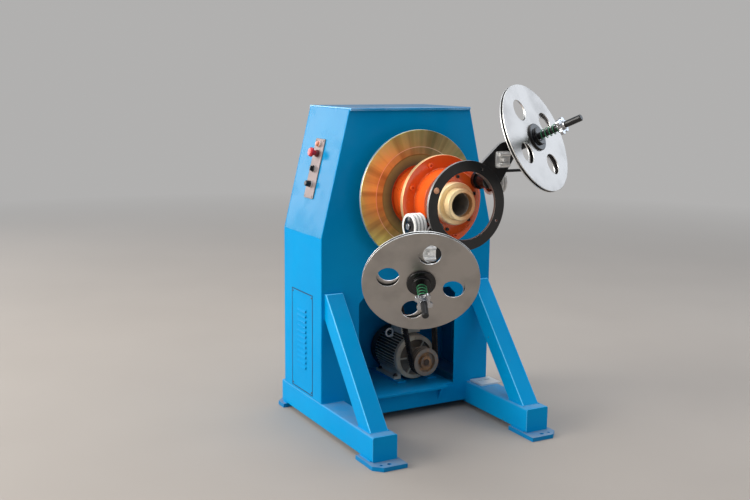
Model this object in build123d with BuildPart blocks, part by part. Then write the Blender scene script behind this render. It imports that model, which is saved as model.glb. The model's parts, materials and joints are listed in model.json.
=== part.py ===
from build123d import *
import os
from math import cos, radians, sin, tan

os.makedirs("parts", exist_ok=True)

# Wire taping machine: a rotating taping head on a welded sheet cabinet, driven by a motor in its base.
# Millimetres. X runs across the machine, Y runs back along the cable bore, Z is up from the floor.
# The origin is on the floor, midway between the four anchor holes.

# Clearances
running_fit = 0.08
press_gap = 0.05
running_gap = 6.0
seat_gap = 0.3

# Stand on the floor
foot_thickness = 18.0
foot_inner_overhang = 12.0
foot_outer_overhang = 18.0
foot_front_overhang = 62.0
foot_rear_overhang = 38.0
front_foot_length = 172.0
rear_foot_length = 90.0
foot_chamfer = 34.0
anchor_hole_radius = 9.0
anchor_inset = 27.0
rear_anchor_inset = 19.0
jack_hole_radius = 6.0
jack_hole_offset = 36.0

# Skids, box tube along the machine's sides
skid_width = 110.0
skid_height = 102.0
skid_wall = 6.0
skid_corner = 7.0
skid_front_reach = 460.0
skid_rear_reach = 30.0
skid_cap_thickness = 5.0

# Cabinet
cabinet_depth = 380.0
base_width = 850.0
roof_width = 590.0
bend_height = 832.0
cabinet_height = 1370.0
sheet = 6.0
roof_lip = 12.0
roof_overhang = 8.0
panel_bottom = 33.0

# Motor opening in the front panel
opening_width = 490.0
opening_top = 573.0
opening_chamfer = 32.0

# Cross beams and motor platform
beam_size = 80.0
beam_wall = 6.0
platform_thickness = 12.0
platform_lip = 32.0
lip_left = 200.0
lip_right = 195.0
gusset_thickness = 10.0
gusset_inset = 24.0
gusset_drop = 58.0

# Braces, square tube from the skids to the front face
brace_size = 80.0
brace_wall = 5.0
brace_angle = 50.0
brace_foot_reach = 415.0
brace_cap_height = 598.0

# Vent doors in the side panels
door_width = 208.0
door_bottom = 131.0
door_top = 573.0
door_front_edge = 88.0
door_thickness = 3.0
door_gap = 2.0
door_ledge = 14.0
louvre_count = 12
louvre_length = 85.0
louvre_first = 491.0
louvre_pitch = 23.0
louvre_slot = 7.0
louvre_rise = 12.0
louvre_throw = 7.0
louvre_skin = 1.5

# Loose shim plate on the right skid
shim_width = 104.0
shim_length = 92.0
shim_thickness = 8.0
shim_shift = 14.0
shim_distance = 54.0
shim_slot_length = 34.0
shim_slot_width = 13.0

# Control plate on the left slope, its fittings placed down the plate from its middle
control_width = 88.0
control_length = 260.0
control_thickness = 5.0
control_distance = 272.0
control_depth = 198.0
lamp_place = -106.0
stop_place = -65.0
selector_place = 2.0
push_button_place = 69.0

# Cable bore and hollow shaft
bore_height = 1000.0
bore_radius = 45.0
shaft_radius = 56.0
shaft_front = 380.0
shaft_rear = 395.0

# Bearing housings
front_housing_flange = 165.0
front_housing_flange_thickness = 16.0
front_housing_radius = 128.0
front_housing_length = 44.0
rear_housing_flange = 140.0
rear_housing_flange_thickness = 16.0
rear_housing_radius = 98.0
rear_housing_length = 48.0

# Brass disc
disc_radius = 280.0
disc_bore = 132.0
disc_thickness = 14.0
disc_step_radius = 178.0
disc_step = 3.0
disc_front = 72.0

# Orange hub, distances forward of the cabinet's front face
hub_back_flange = 160.0
hub_neck = 120.0
hub_neck_front = 92.0
hub_cone_front = 222.0
hub_cone_radius = 168.0
rim_back = 236.0
rim_radius = 188.0
rim_thickness = 20.0
drum_radius = 134.0
drum_front = 330.0
drum_draft = 2.0
collar_radius = 86.0
collar_front = 368.0
nose_radius = 65.0
nose_front = 404.0
nose_bore = 47.0

# Black tape ring
ring_outer = 179.0
ring_inner = 136.0
ring_back = 425.0
ring_thickness = 12.0
ring_hole_radius = 5.5
ring_hole_count = 4
ring_hole_angle = 155.0

# Spools and their tilted spindles
spool_angle = 46.0
spool_tilt = 35.0
spool_distance = 374.0
spool_reach = 526.0
flange_radius = 225.0
flange_thickness = 4.0
flange_gap = 8.0
flange_hole_radius = 43.0
flange_hole_circle = 130.0
flange_hole_count = 4
flange_hole_angle = {"upper": 76.0, "lower": 38.0}
inner_flange_turn = -8.0
core_radius = 40.0
spool_boss_radius = 34.0
spool_boss_length = 19.0
washer_radius = 56.0
washer_thickness = 9.0
washer_step_radius = 36.0
washer_step = 11.0
spindle_radius = 13.0
spindle_tip = 205.0
spindle_root = 118.0
socket_radius = 22.0
socket_length = 62.0
spring_radius = 20.0
spring_wire = 3.0
spring_turns = 9
spring_end = 105.0
nut_length = 30.0
nut_radius = 18.0
nut_flare_width = 3.0
nut_collar_length = 6.0
nut_lobe_fillet = 4.0
nut_lobe_count = 4
nut_lobe_radius = 12.0
nut_lobe_distance = 26.0
nut_lobe_thickness = 13.0
nut_lobe_turn = 20.0

# Arms that carry the ring and the spindles
arm_thickness = 14.0
arm_root_distance = 168.0
arm_root_radius = 62.0
arm_end_distance = 270.0
arm_end_radius = 48.0
arm_end_offset = 6.0
guide_rod_radius = 6.0
guide_rod_height = 130.0
guide_rod_start = 185.0
guide_rod_end = 300.0
boss_distance = 150.0
boss_turn = -9.0
boss_radius = 30.0
boss_collar_radius = 38.0
boss_collar_start = 6.0
boss_collar_length = 18.0
clamp_distance = 246.0
clamp_plate = 66.0
clamp_plate_thickness = 8.0
clamp_bar_radius = 8.0
clamp_bar_length = 50.0
clamp_bar_spacing = 42.0
clamp_post_radius = 9.0

# Guide rollers
roller_radius = 52.0
roller_width = 52.0
roller_inner_end = 163.0
roller_height = 80.0
roller_grooves = 3
roller_groove_depth = 7.0
roller_groove_width = 9.0
roller_pin_radius = 8.0
roller_pin_head = 13.0

# Motor
motor_offset = 108.0
motor_axis_height = 232.0
motor_foot_height = 100.0
stator_radius = 92.0
fin_tip_radius = 104.0
fin_thickness = 3.0
fin_count = 34
stator_front = 134.0
shield_face = 84.0
shield_boss_radius = 46.0
shield_rim_length = 24.0
shield_recess = 12.0
shield_rib_count = 6
shield_rib_thickness = 8.0
cowl_length = 58.0
cowl_clearance = 10.0
cowl_radius = 104.0
cowl_shoulder = 20.0
cowl_slot_circle = 48.0
cowl_slot_count = 12
cowl_slot_length = 34.0
cowl_slot_width = 5.0
cowl_slot_depth = 4.0
motor_shaft_radius = 14.0
motor_shaft_front = 12.0
foot_block_width = 34.0
foot_block_height = 12.0
foot_web_height = 44.0
foot_web_thickness = 14.0
foot_spacing = 160.0
rail_width = 44.0
rail_overhang = 39.0
rail_slot_inset = 30.0
rail_slot_width = 14.0
eyebolt_angle = 128.0
eyebolt_ring = 18.0
eyebolt_wire = 4.5
terminal_box_width = 104.0
terminal_box_length = 100.0
terminal_box_height = 66.0
terminal_box_setback = 15.0

# Belt drive
motor_pulley_radius = 63.0
main_pulley_radius = 131.0
pulley_width = 50.0
pulley_back = 66.0
belt_count = 3
belt_pitch = 15.0
belt_width = 10.0
belt_height = 8.0
motor_pulley_hub = 28.0
motor_pulley_wall = 9.0
main_pulley_hub = 80.0
main_pulley_wall = 14.0
groove_gap = 0.4

# Places that follow from the sizes above
skid_top = foot_thickness + skid_height
anchor_ahead = skid_front_reach + foot_front_overhang - anchor_inset
anchor_behind = cabinet_depth + skid_rear_reach + foot_rear_overhang - rear_anchor_inset
front_y = (anchor_ahead - anchor_behind) / 2
back_y = front_y + cabinet_depth
half_base = base_width / 2
half_roof = roof_width / 2
skid_inner = half_base - skid_width
skid_centre = half_base - skid_width / 2
roof_underside = cabinet_height - sheet
platform_top = skid_top + 4.0
platform_underside = platform_top - platform_thickness
slope_run = half_base - half_roof
slope_rise = cabinet_height - bend_height
pulley_front = pulley_back - pulley_width
roller_reach = ring_back - arm_thickness - running_gap - roller_radius
pin_root = boss_distance * cos(radians(spool_angle + boss_turn))
cowl_rear = cabinet_depth - sheet - cowl_clearance
stator_rear = cowl_rear - cowl_length
stator_middle = (stator_front + stator_rear) / 2


def half_width_at(height):
    """Half the cabinet's width at a height on the slope."""
    return half_base - slope_run * (height - bend_height) / slope_rise


def section_of(frame):
    """Plane for a turned outline: local X is the radius and local Y runs along the frame's axis."""
    return Plane(origin=frame.origin, x_dir=frame.x_dir, z_dir=-frame.y_dir)


def axis_of(frame):
    return Axis(frame.origin, frame.z_dir)


def turned(frame, outline):
    """Solid of revolution about the frame's axis, from (radius, distance) corners."""
    with BuildPart() as piece:
        with BuildSketch(section_of(frame)):
            with BuildLine():
                Polyline(*outline, close=True)
            make_face()
        revolve(axis=axis_of(frame))
    return piece.part


def keep(piece, name):
    """Labels a finished piece and writes it."""
    piece.part.label = name
    export_step(piece.part, f"parts/{name}.step")


def keep_set(pieces, name):
    """Writes several like pieces as the separate solids of one node."""
    group = Compound(label=name, children=[piece.part for piece in pieces])
    export_step(group, f"parts/{name}.step")


head = Plane(origin=(0, front_y, bore_height), x_dir=(1, 0, 0), z_dir=(0, -1, 0))
motor = Plane(origin=(motor_offset, front_y, motor_axis_height), x_dir=(1, 0, 0), z_dir=(0, -1, 0))


def spool_frame(turn):
    """Frame at a spool's outer flange face, its axis along the tilted spindle."""
    angle = radians(spool_angle + turn)
    tilt = radians(spool_tilt)
    outward = Vector(cos(angle), 0, sin(angle))
    forward = Vector(0, -1, 0)
    origin = head.origin + outward * spool_distance + forward * spool_reach
    across = Vector(-sin(angle), 0, cos(angle))
    return Plane(origin=origin, x_dir=across, z_dir=outward * sin(tilt) + forward * cos(tilt))


def arm_frame(turn):
    """Frame on the bore axis at the ring's back face, with local X out along an arm."""
    angle = radians(spool_angle + turn)
    origin = head.origin + Vector(0, -ring_back, 0)
    return Plane(origin=origin, x_dir=(cos(angle), 0, sin(angle)), z_dir=(0, -1, 0))


def pin_frame(side):
    """Frame on a guide roller's pin, in the plane of the bore axis, pointing out to its side."""
    origin = (0, front_y - roller_reach, bore_height + side * roller_height)
    return Plane(origin=origin, x_dir=(0, 0, side), z_dir=(side, 0, 0))


sides = {"left": -1, "right": 1}
halves = {"upper": 0, "lower": 180}

# Foot plates with anchor and jacking holes
foot_width = skid_width + foot_inner_overhang + foot_outer_overhang
foot_offset = skid_centre + (foot_outer_overhang - foot_inner_overhang) / 2
foot_ends = {
    "front": (-anchor_ahead, -1, front_foot_length, anchor_inset),
    "rear": (anchor_behind, 1, rear_foot_length, rear_anchor_inset),
}
feet = []
for end, (anchor_distance, outward, length, inset) in foot_ends.items():
    anchor_y = front_y + anchor_distance
    foot_y = anchor_y + outward * (inset - length / 2)
    for side, sign in sides.items():
        with BuildPart() as foot:
            with BuildSketch(Plane.XY):
                with Locations((sign * foot_offset, foot_y)):
                    Rectangle(foot_width, length)
                corners = vertices().group_by(Axis.Y)[0 if outward < 0 else -1]
                chamfer(corners.sort_by(Axis.X)[0 if sign < 0 else -1], foot_chamfer)
                with Locations((sign * skid_centre, anchor_y)):
                    Circle(anchor_hole_radius, mode=Mode.SUBTRACT)
                with Locations((sign * (skid_centre + jack_hole_offset), anchor_y)):
                    Circle(jack_hole_radius, mode=Mode.SUBTRACT)
            extrude(amount=foot_thickness)
        feet.append(foot)
keep_set(feet, "foot_plates")

# Skids and their end caps
skid_front_y = front_y - skid_front_reach
skid_rear_y = back_y + skid_rear_reach
skid_tube_length = skid_rear_y - skid_front_y - 2 * skid_cap_thickness
skid_mid_height = foot_thickness + skid_height / 2
skids = []
for side, sign in sides.items():
    with BuildPart() as skid:
        with BuildSketch(Plane.XZ.offset(-(skid_front_y + skid_cap_thickness))):
            with Locations((sign * skid_centre, skid_mid_height)):
                RectangleRounded(skid_width, skid_height, skid_corner)
                Rectangle(skid_width - 2 * skid_wall, skid_height - 2 * skid_wall, mode=Mode.SUBTRACT)
        extrude(amount=-skid_tube_length)
    skids.append(skid)
keep_set(skids, "skids")

with BuildPart() as skid_caps:
    for cap_y in (skid_front_y + skid_cap_thickness, skid_rear_y):
        with BuildSketch(Plane.XZ.offset(-cap_y)):
            with Locations((-skid_centre, skid_mid_height), (skid_centre, skid_mid_height)):
                RectangleRounded(skid_width, skid_height, skid_corner)
        extrude(amount=skid_cap_thickness)
keep(skid_caps, "skid_end_caps")

# Cross beams between the skids
beam_centre_height = platform_underside - beam_size / 2
beams = []
for beam_y in (front_y + sheet + beam_size / 2, back_y - sheet - beam_size / 2):
    with BuildPart() as beam:
        with BuildSketch(Plane.YZ.offset(-skid_inner)):
            with Locations((beam_y, beam_centre_height)):
                RectangleRounded(beam_size, beam_size, beam_wall)
                Rectangle(beam_size - 2 * beam_wall, beam_size - 2 * beam_wall, mode=Mode.SUBTRACT)
        extrude(amount=2 * skid_inner)
    beams.append(beam)
keep_set(beams, "cross_beams")

# Motor platform, its front edge standing out through the opening, with a gusset under the lip
with BuildPart() as platform:
    with BuildSketch(Plane.XY.offset(platform_underside)):
        with Locations((0, front_y + (cabinet_depth - sheet) / 2)):
            Rectangle(opening_width - 2, cabinet_depth - sheet)
        with Locations(((lip_right - lip_left) / 2, front_y - platform_lip / 2)):
            Rectangle(lip_left + lip_right, platform_lip)
    extrude(amount=platform_thickness)
    with BuildSketch(Plane.YZ.offset(lip_right - gusset_inset - gusset_thickness)):
        with BuildLine():
            Polyline(
                (front_y, platform_underside),
                (front_y - platform_lip, platform_underside),
                (front_y, platform_underside - gusset_drop),
                close=True,
            )
        make_face()
    extrude(amount=gusset_thickness)
keep(platform, "motor_platform")

# Front and back panels, one outline with a shaft hole, the front one with the motor opening
panel_outline = [
    (-skid_inner, panel_bottom),
    (-skid_inner, skid_top),
    (-half_base, skid_top),
    (-half_base, bend_height),
    (-half_width_at(roof_underside), roof_underside),
    (half_width_at(roof_underside), roof_underside),
    (half_base, bend_height),
    (half_base, skid_top),
    (skid_inner, skid_top),
    (skid_inner, panel_bottom),
]
opening_height = opening_top - platform_underside
with BuildSketch(Plane.XY) as motor_opening:
    with Locations((0, platform_underside + opening_height / 2)):
        Rectangle(opening_width, opening_height)
    chamfer(motor_opening.vertices().group_by(Axis.Y)[-1], opening_chamfer)
for name, panel_y, shaft_hole in (
    ("front_panel", front_y, front_housing_radius - 20),
    ("back_panel", back_y - sheet, rear_housing_radius - 20),
):
    with BuildPart() as panel:
        with BuildSketch(Plane.XZ.offset(-panel_y)):
            with BuildLine():
                Polyline(*panel_outline, close=True)
            make_face()
            if name == "front_panel":
                add(motor_opening.sketch, mode=Mode.SUBTRACT)
            with Locations((0, bore_height)):
                Circle(shaft_hole, mode=Mode.SUBTRACT)
        extrude(amount=-sheet)
    keep(panel, name)

# Side panels, each one bent sheet with a ledge for its vent door
shell_height = skid_top - sheet * 2
door_y = front_y + door_front_edge + door_width / 2
door_z = (door_bottom + door_top) / 2
door_height = door_top - door_bottom
for side, sign in sides.items():
    with BuildPart() as side_panel:
        with BuildSketch(Plane.XZ.offset(-(front_y + sheet))):
            with BuildLine():
                Polyline(
                    (-half_base, shell_height),
                    (-half_base, bend_height),
                    (-half_width_at(cabinet_height + sheet * 2), cabinet_height + sheet * 2),
                    (half_width_at(cabinet_height + sheet * 2), cabinet_height + sheet * 2),
                    (half_base, bend_height),
                    (half_base, shell_height),
                    close=True,
                )
            make_face()
            offset(amount=-sheet, kind=Kind.INTERSECTION, mode=Mode.SUBTRACT)
            with Locations((sign * half_base / 2, (skid_top + roof_underside) / 2)):
                Rectangle(half_base, roof_underside - skid_top, mode=Mode.INTERSECT)
        extrude(amount=-(cabinet_depth - 2 * sheet))
        with BuildSketch(Plane.YZ.offset(sign * half_base)):
            with Locations((door_y, door_z)):
                Rectangle(door_width + 2 * door_gap, door_height + 2 * door_gap)
        extrude(amount=-sign * door_thickness, mode=Mode.SUBTRACT)
        with BuildSketch(Plane.YZ.offset(sign * half_base)):
            with Locations((door_y, door_z)):
                Rectangle(door_width - 2 * door_ledge, door_height - 2 * door_ledge)
        extrude(amount=-sign * sheet, mode=Mode.SUBTRACT)
    keep(side_panel, f"{side}_side_panel")

# Roof, with a lip turned down over the front and the back
with BuildPart() as roof:
    with BuildSketch(Plane.YZ.offset(-half_roof)):
        with BuildLine():
            Polyline(
                (front_y - roof_overhang, cabinet_height),
                (back_y + roof_overhang, cabinet_height),
                (back_y + roof_overhang, cabinet_height - roof_lip),
                (back_y, cabinet_height - roof_lip),
                (back_y, roof_underside),
                (front_y, roof_underside),
                (front_y, cabinet_height - roof_lip),
                (front_y - roof_overhang, cabinet_height - roof_lip),
                close=True,
            )
        make_face()
    extrude(amount=roof_width)
    fillet(edges().filter_by(Axis.X).group_by(Axis.Z)[-1], roof_overhang / 2)
keep(roof, "roof_panel")

# Vent doors: screwed plates with pressed louvres, hooded slots open downwards
doors = []
for side, sign in sides.items():
    face = sign * half_base
    with BuildPart() as door:
        with BuildSketch(Plane.YZ.offset(face)):
            with Locations((door_y, door_z)):
                Rectangle(door_width, door_height)
        extrude(amount=-sign * door_thickness)
        slot_places = [(door_y, louvre_first - louvre_pitch * n) for n in range(louvre_count)]
        with BuildSketch(Plane.YZ.offset(face)):
            with Locations(*slot_places):
                Rectangle(louvre_length, louvre_slot)
        extrude(amount=-sign * door_thickness, mode=Mode.SUBTRACT)
        for slot_y, slot_z in slot_places:
            hood_base = slot_z - louvre_slot / 2
            hood_top = slot_z + louvre_rise
            with BuildSketch(Plane.XZ.offset(-(slot_y - louvre_length / 2))):
                with BuildLine():
                    Polyline(
                        (face, hood_top),
                        (face + sign * louvre_throw, hood_base),
                        (face + sign * (louvre_throw - louvre_skin), hood_base),
                        (face, hood_top - louvre_skin * 2),
                        close=True,
                    )
                make_face()
            extrude(amount=-louvre_length)
    doors.append(door)
keep_set(doors, "vent_doors")

# Braces, square tube cut flat on the skid and against the front face, with a closed flat top
brace_slope = tan(radians(brace_angle))
brace_foot_y = front_y - brace_foot_reach
braces = []
for side, sign in sides.items():
    with BuildPart() as brace:
        hollow = (brace_wall, skid_top - brace_size, Mode.SUBTRACT)
        for inset, low_z, mode in ((0, skid_top, Mode.ADD), hollow):
            drop = inset / cos(radians(brace_angle))
            full = brace_size / cos(radians(brace_angle))
            top_z = brace_cap_height - inset
            wall_y = front_y + inset
            with BuildSketch(Plane.YZ.offset(sign * skid_centre - brace_size / 2 + inset)):
                with BuildLine():
                    Polyline(
                        (brace_foot_y + (low_z + drop - skid_top) / brace_slope, low_z),
                        (brace_foot_y + (top_z + drop - skid_top) / brace_slope, top_z),
                        (wall_y, top_z),
                        (wall_y, skid_top + (wall_y - brace_foot_y) * brace_slope - full + drop),
                        (brace_foot_y + (low_z + full - drop - skid_top) / brace_slope, low_z),
                        close=True,
                    )
                make_face()
            extrude(amount=brace_size - 2 * inset, mode=mode)
    braces.append(brace)
keep_set(braces, "braces")

# Loose shim plate left on the right skid
with BuildPart() as shim:
    with BuildSketch(Plane.XY.offset(skid_top)):
        with Locations((skid_centre + shim_shift, front_y - shim_distance)):
            Rectangle(shim_width, shim_length)
            with Locations((-shim_width / 4, shim_slot_width), (shim_width / 7, shim_slot_width)):
                SlotOverall(shim_slot_length, shim_slot_width, mode=Mode.SUBTRACT)
    extrude(amount=shim_thickness)
keep(shim, "shim_plate")

# Control plate on the left slope, with its lamp, switches and emergency stop
slope_down = Vector(-slope_run, 0, -slope_rise).normalized()
slope_out = Vector(-slope_rise, 0, slope_run).normalized()
control_origin = Vector(-half_roof, front_y + control_depth, cabinet_height) + slope_down * control_distance
control = Plane(origin=control_origin, x_dir=(0, 1, 0), z_dir=slope_out)
with BuildPart() as control_plate:
    with BuildSketch(control):
        RectangleRounded(control_width, control_length, 4)
    extrude(amount=control_thickness)
    chamfer(faces().sort_by(Axis((0, 0, 0), slope_out))[-1].edges(), 1.2)
keep(control_plate, "control_plate")


def button_frame(along):
    """Frame on the control plate's face, at a distance down the plate from its middle."""
    return Plane(
        origin=control_origin + slope_down * along + slope_out * control_thickness,
        x_dir=(0, 1, 0),
        z_dir=slope_out,
    )


stop_outline = [(0, 0), (15, 0), (15, 8), (11, 12), (11, 22), (20, 26), (20, 34), (15, 40), (0, 42)]
with BuildPart() as stop_button:
    add(turned(button_frame(stop_place), stop_outline))
keep(stop_button, "emergency_stop")

push_button_outline = [(0, 0), (15, 0), (15, 6), (13, 9), (12, 26), (10, 28), (0, 28)]
with BuildPart() as switches:
    add(turned(button_frame(lamp_place), [(0, 0), (14, 0), (14, 5), (10, 8), (10, 14), (6, 18), (0, 19)]))
    add(turned(button_frame(selector_place), [(0, 0), (15, 0), (15, 6), (12, 9), (0, 9)]))
    add(turned(button_frame(push_button_place), push_button_outline))
    with BuildSketch(button_frame(selector_place).offset(9)):
        Rectangle(7, 22)
    extrude(amount=12)
keep(switches, "control_switches")

# Hollow shaft that the cable runs through
with BuildPart() as shaft:
    with BuildSketch(head.offset(-shaft_rear)):
        Circle(shaft_radius)
        Circle(bore_radius, mode=Mode.SUBTRACT)
    extrude(amount=shaft_rear + shaft_front)
keep(shaft, "hollow_shaft")

# Bearing housings, bolted to the front panel's outside and the back panel's inside
bearing_bore = shaft_radius + running_fit
with BuildPart() as front_housing:
    add(
        turned(
            head,
            [
                (bearing_bore, 0),
                (front_housing_flange, 0),
                (front_housing_flange, front_housing_flange_thickness),
                (front_housing_radius + 6, front_housing_flange_thickness),
                (front_housing_radius, front_housing_flange_thickness + 6),
                (front_housing_radius, front_housing_length),
                (bearing_bore, front_housing_length),
            ],
        )
    )
keep(front_housing, "front_bearing_housing")

rear_face = -(cabinet_depth - sheet)
with BuildPart() as rear_housing:
    add(
        turned(
            head,
            [
                (bearing_bore, rear_face),
                (rear_housing_flange, rear_face),
                (rear_housing_flange, rear_face + rear_housing_flange_thickness),
                (rear_housing_radius + 6, rear_face + rear_housing_flange_thickness),
                (rear_housing_radius, rear_face + rear_housing_flange_thickness + 6),
                (rear_housing_radius, rear_face + rear_housing_length),
                (bearing_bore, rear_face + rear_housing_length),
            ],
        )
    )
keep(rear_housing, "rear_bearing_housing")

# Brass disc behind the hub, seated on the hub's back flange
disc_back = disc_front - disc_thickness
with BuildPart() as disc:
    add(
        turned(
            head,
            [
                (disc_bore, disc_back),
                (disc_radius, disc_back),
                (disc_radius, disc_front - 1.5),
                (disc_radius - 1.5, disc_front),
                (disc_step_radius, disc_front),
                (disc_step_radius - disc_step, disc_front - disc_step),
                (disc_bore, disc_front - disc_step),
            ],
        )
    )
keep(disc, "brass_disc")

# Orange hub: back flange, flared neck, bolted rim and drum
hub_bore = shaft_radius + press_gap
with BuildPart() as hub:
    add(
        turned(
            head,
            [
                (hub_bore, front_housing_length + running_gap),
                (hub_back_flange, front_housing_length + running_gap),
                (hub_back_flange, disc_back),
                (hub_neck, disc_back),
                (hub_neck, hub_neck_front),
                (hub_cone_radius, hub_cone_front),
                (hub_cone_radius, rim_back),
                (rim_radius, rim_back),
                (rim_radius, rim_back + rim_thickness),
                (drum_radius, rim_back + rim_thickness),
                (drum_radius - drum_draft, drum_front),
                (hub_bore, drum_front),
            ],
        )
    )
keep(hub, "taping_hub")

# Brass collar and nose around the bore's mouth
with BuildPart() as nose:
    add(
        turned(
            head,
            [
                (hub_bore, drum_front),
                (collar_radius, drum_front),
                (collar_radius, collar_front - 3),
                (collar_radius - 3, collar_front),
                (nose_radius, collar_front),
                (nose_radius, nose_front - 3),
                (nose_radius - 3, nose_front),
                (nose_bore + 2, nose_front),
                (nose_bore, nose_front - 4),
                (nose_bore, shaft_front),
                (hub_bore, shaft_front),
            ],
        )
    )
keep(nose, "brass_nose")

# Black tape ring in front of the hub
with BuildPart() as ring:
    with BuildSketch(head.offset(ring_back)):
        Circle(ring_outer)
        Circle(ring_inner, mode=Mode.SUBTRACT)
        with PolarLocations((ring_outer + ring_inner) / 2, ring_hole_count, start_angle=ring_hole_angle):
            Circle(ring_hole_radius, mode=Mode.SUBTRACT)
    extrude(amount=ring_thickness)
keep(ring, "tape_ring")

# Arms, each on a boss from the hub, carrying the ring, a tape clamp, a guide rod and a tilted spindle
arms, bosses, spindles, clamps = [], [], [], []
for half, turn in halves.items():
    arm_plane = arm_frame(turn)
    spool = spool_frame(turn)
    side = 1 if turn == 0 else -1
    with BuildPart() as arm:
        with BuildSketch(arm_plane.offset(-arm_thickness)):
            with Locations((arm_root_distance, 0)):
                Circle(arm_root_radius)
            with Locations((arm_end_distance, arm_end_offset)):
                Circle(arm_end_radius)
            make_hull()
            Circle(ring_inner, mode=Mode.SUBTRACT)
        extrude(amount=arm_thickness)
        rod_start = Vector(side * guide_rod_start, front_y - ring_back + arm_thickness / 2, 0)
        rod_start += Vector(0, 0, bore_height + side * guide_rod_height)
        with BuildSketch(Plane(origin=rod_start, x_dir=(0, 1, 0), z_dir=(side, 0, 0))):
            Circle(guide_rod_radius)
        extrude(amount=guide_rod_end - guide_rod_start)
        with BuildSketch(spool.offset(-spindle_root)):
            Circle(socket_radius)
        extrude(amount=socket_length)
        with BuildSketch(spool.offset(-spindle_root)):
            Circle(spindle_radius + press_gap)
        extrude(amount=socket_length, mode=Mode.SUBTRACT)
    arms.append(arm)

    with BuildPart() as spindle:
        add(
            turned(
                spool,
                [
                    (0, -spindle_root),
                    (spindle_radius, -spindle_root),
                    (spindle_radius, spindle_tip - 3),
                    (spindle_radius - 3, spindle_tip),
                    (0, spindle_tip),
                ],
            )
        )
    spindles.append(spindle)

    boss_angle = radians(boss_turn)
    boss_centre = arm_plane.origin - arm_plane.z_dir * (ring_back - drum_front)
    boss_centre += arm_plane.x_dir * (boss_distance * cos(boss_angle))
    boss_centre += arm_plane.y_dir * (boss_distance * sin(boss_angle))
    boss_length = ring_back - arm_thickness - drum_front
    collar_end = boss_collar_start + boss_collar_length
    with BuildPart() as boss:
        add(
            turned(
                Plane(origin=boss_centre, x_dir=arm_plane.x_dir, z_dir=arm_plane.z_dir),
                [
                    (0, 0),
                    (boss_radius, 0),
                    (boss_radius, boss_collar_start),
                    (boss_collar_radius, boss_collar_start),
                    (boss_collar_radius, collar_end),
                    (boss_radius, collar_end),
                    (boss_radius, boss_length),
                    (0, boss_length),
                ],
            )
        )
        with BuildSketch(pin_frame(side).offset(pin_root)):
            Circle(roller_pin_radius + press_gap)
        extrude(amount=boss_collar_radius, mode=Mode.SUBTRACT)
    bosses.append(boss)

    clamp_centre = arm_plane.origin + arm_plane.x_dir * clamp_distance
    clamp_plane = Plane(origin=clamp_centre, x_dir=(side, 0, 0), z_dir=arm_plane.z_dir)
    bar_height = clamp_plate_thickness + clamp_bar_radius
    with BuildPart() as clamp:
        with BuildSketch(clamp_plane):
            RectangleRounded(clamp_plate, clamp_plate, 10)
        extrude(amount=clamp_plate_thickness)
        with BuildSketch(clamp_plane.offset(clamp_plate_thickness)):
            Circle(clamp_post_radius)
        extrude(amount=2 * clamp_bar_radius)
        for bar_offset in (-clamp_bar_spacing / 2, clamp_bar_spacing / 2):
            bar_start = (
                clamp_centre
                + clamp_plane.z_dir * bar_height
                + clamp_plane.y_dir * bar_offset
                - clamp_plane.x_dir * clamp_bar_length / 2
            )
            with BuildSketch(Plane(origin=bar_start, x_dir=clamp_plane.y_dir, z_dir=clamp_plane.x_dir)):
                Circle(clamp_bar_radius)
            extrude(amount=clamp_bar_length)
            with BuildSketch(clamp_plane.offset(clamp_plate_thickness)):
                with Locations((0, bar_offset)):
                    Rectangle(clamp_bar_length * 0.7, clamp_bar_radius)
            extrude(amount=clamp_bar_radius)
    clamps.append(clamp)
keep_set(arms, "spool_arms")
keep_set(spindles, "spool_spindles")
keep_set(bosses, "arm_bosses")
keep_set(clamps, "tape_clamps")

# Guide rollers on headed pins from the arms' bosses
pins = []
for half, turn in halves.items():
    roller_pin = pin_frame(1 if turn == 0 else -1)
    pin_end = roller_inner_end + roller_width + 1
    with BuildPart() as pin:
        add(
            turned(
                roller_pin,
                [
                    (0, pin_root),
                    (roller_pin_radius, pin_root),
                    (roller_pin_radius, pin_end),
                    (roller_pin_head, pin_end),
                    (roller_pin_head, pin_end + 6),
                    (0, pin_end + 6),
                ],
            )
        )
    pins.append(pin)

    land = (roller_width - roller_grooves * roller_groove_width) / (roller_grooves + 1)
    rim = [(roller_pin_radius + running_fit, 0), (roller_radius, 0)]
    for n in range(roller_grooves):
        start = land + n * (land + roller_groove_width)
        rim += [
            (roller_radius, start),
            (roller_radius - roller_groove_depth, start + roller_groove_width * 0.3),
            (roller_radius - roller_groove_depth, start + roller_groove_width * 0.7),
            (roller_radius, start + roller_groove_width),
        ]
    rim += [(roller_radius, roller_width), (roller_pin_radius + running_fit, roller_width)]
    with BuildPart() as roller:
        add(turned(roller_pin.offset(roller_inner_end), rim))
    keep(roller, f"{half}_guide_roller")
keep_set(pins, "roller_pins")

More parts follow.
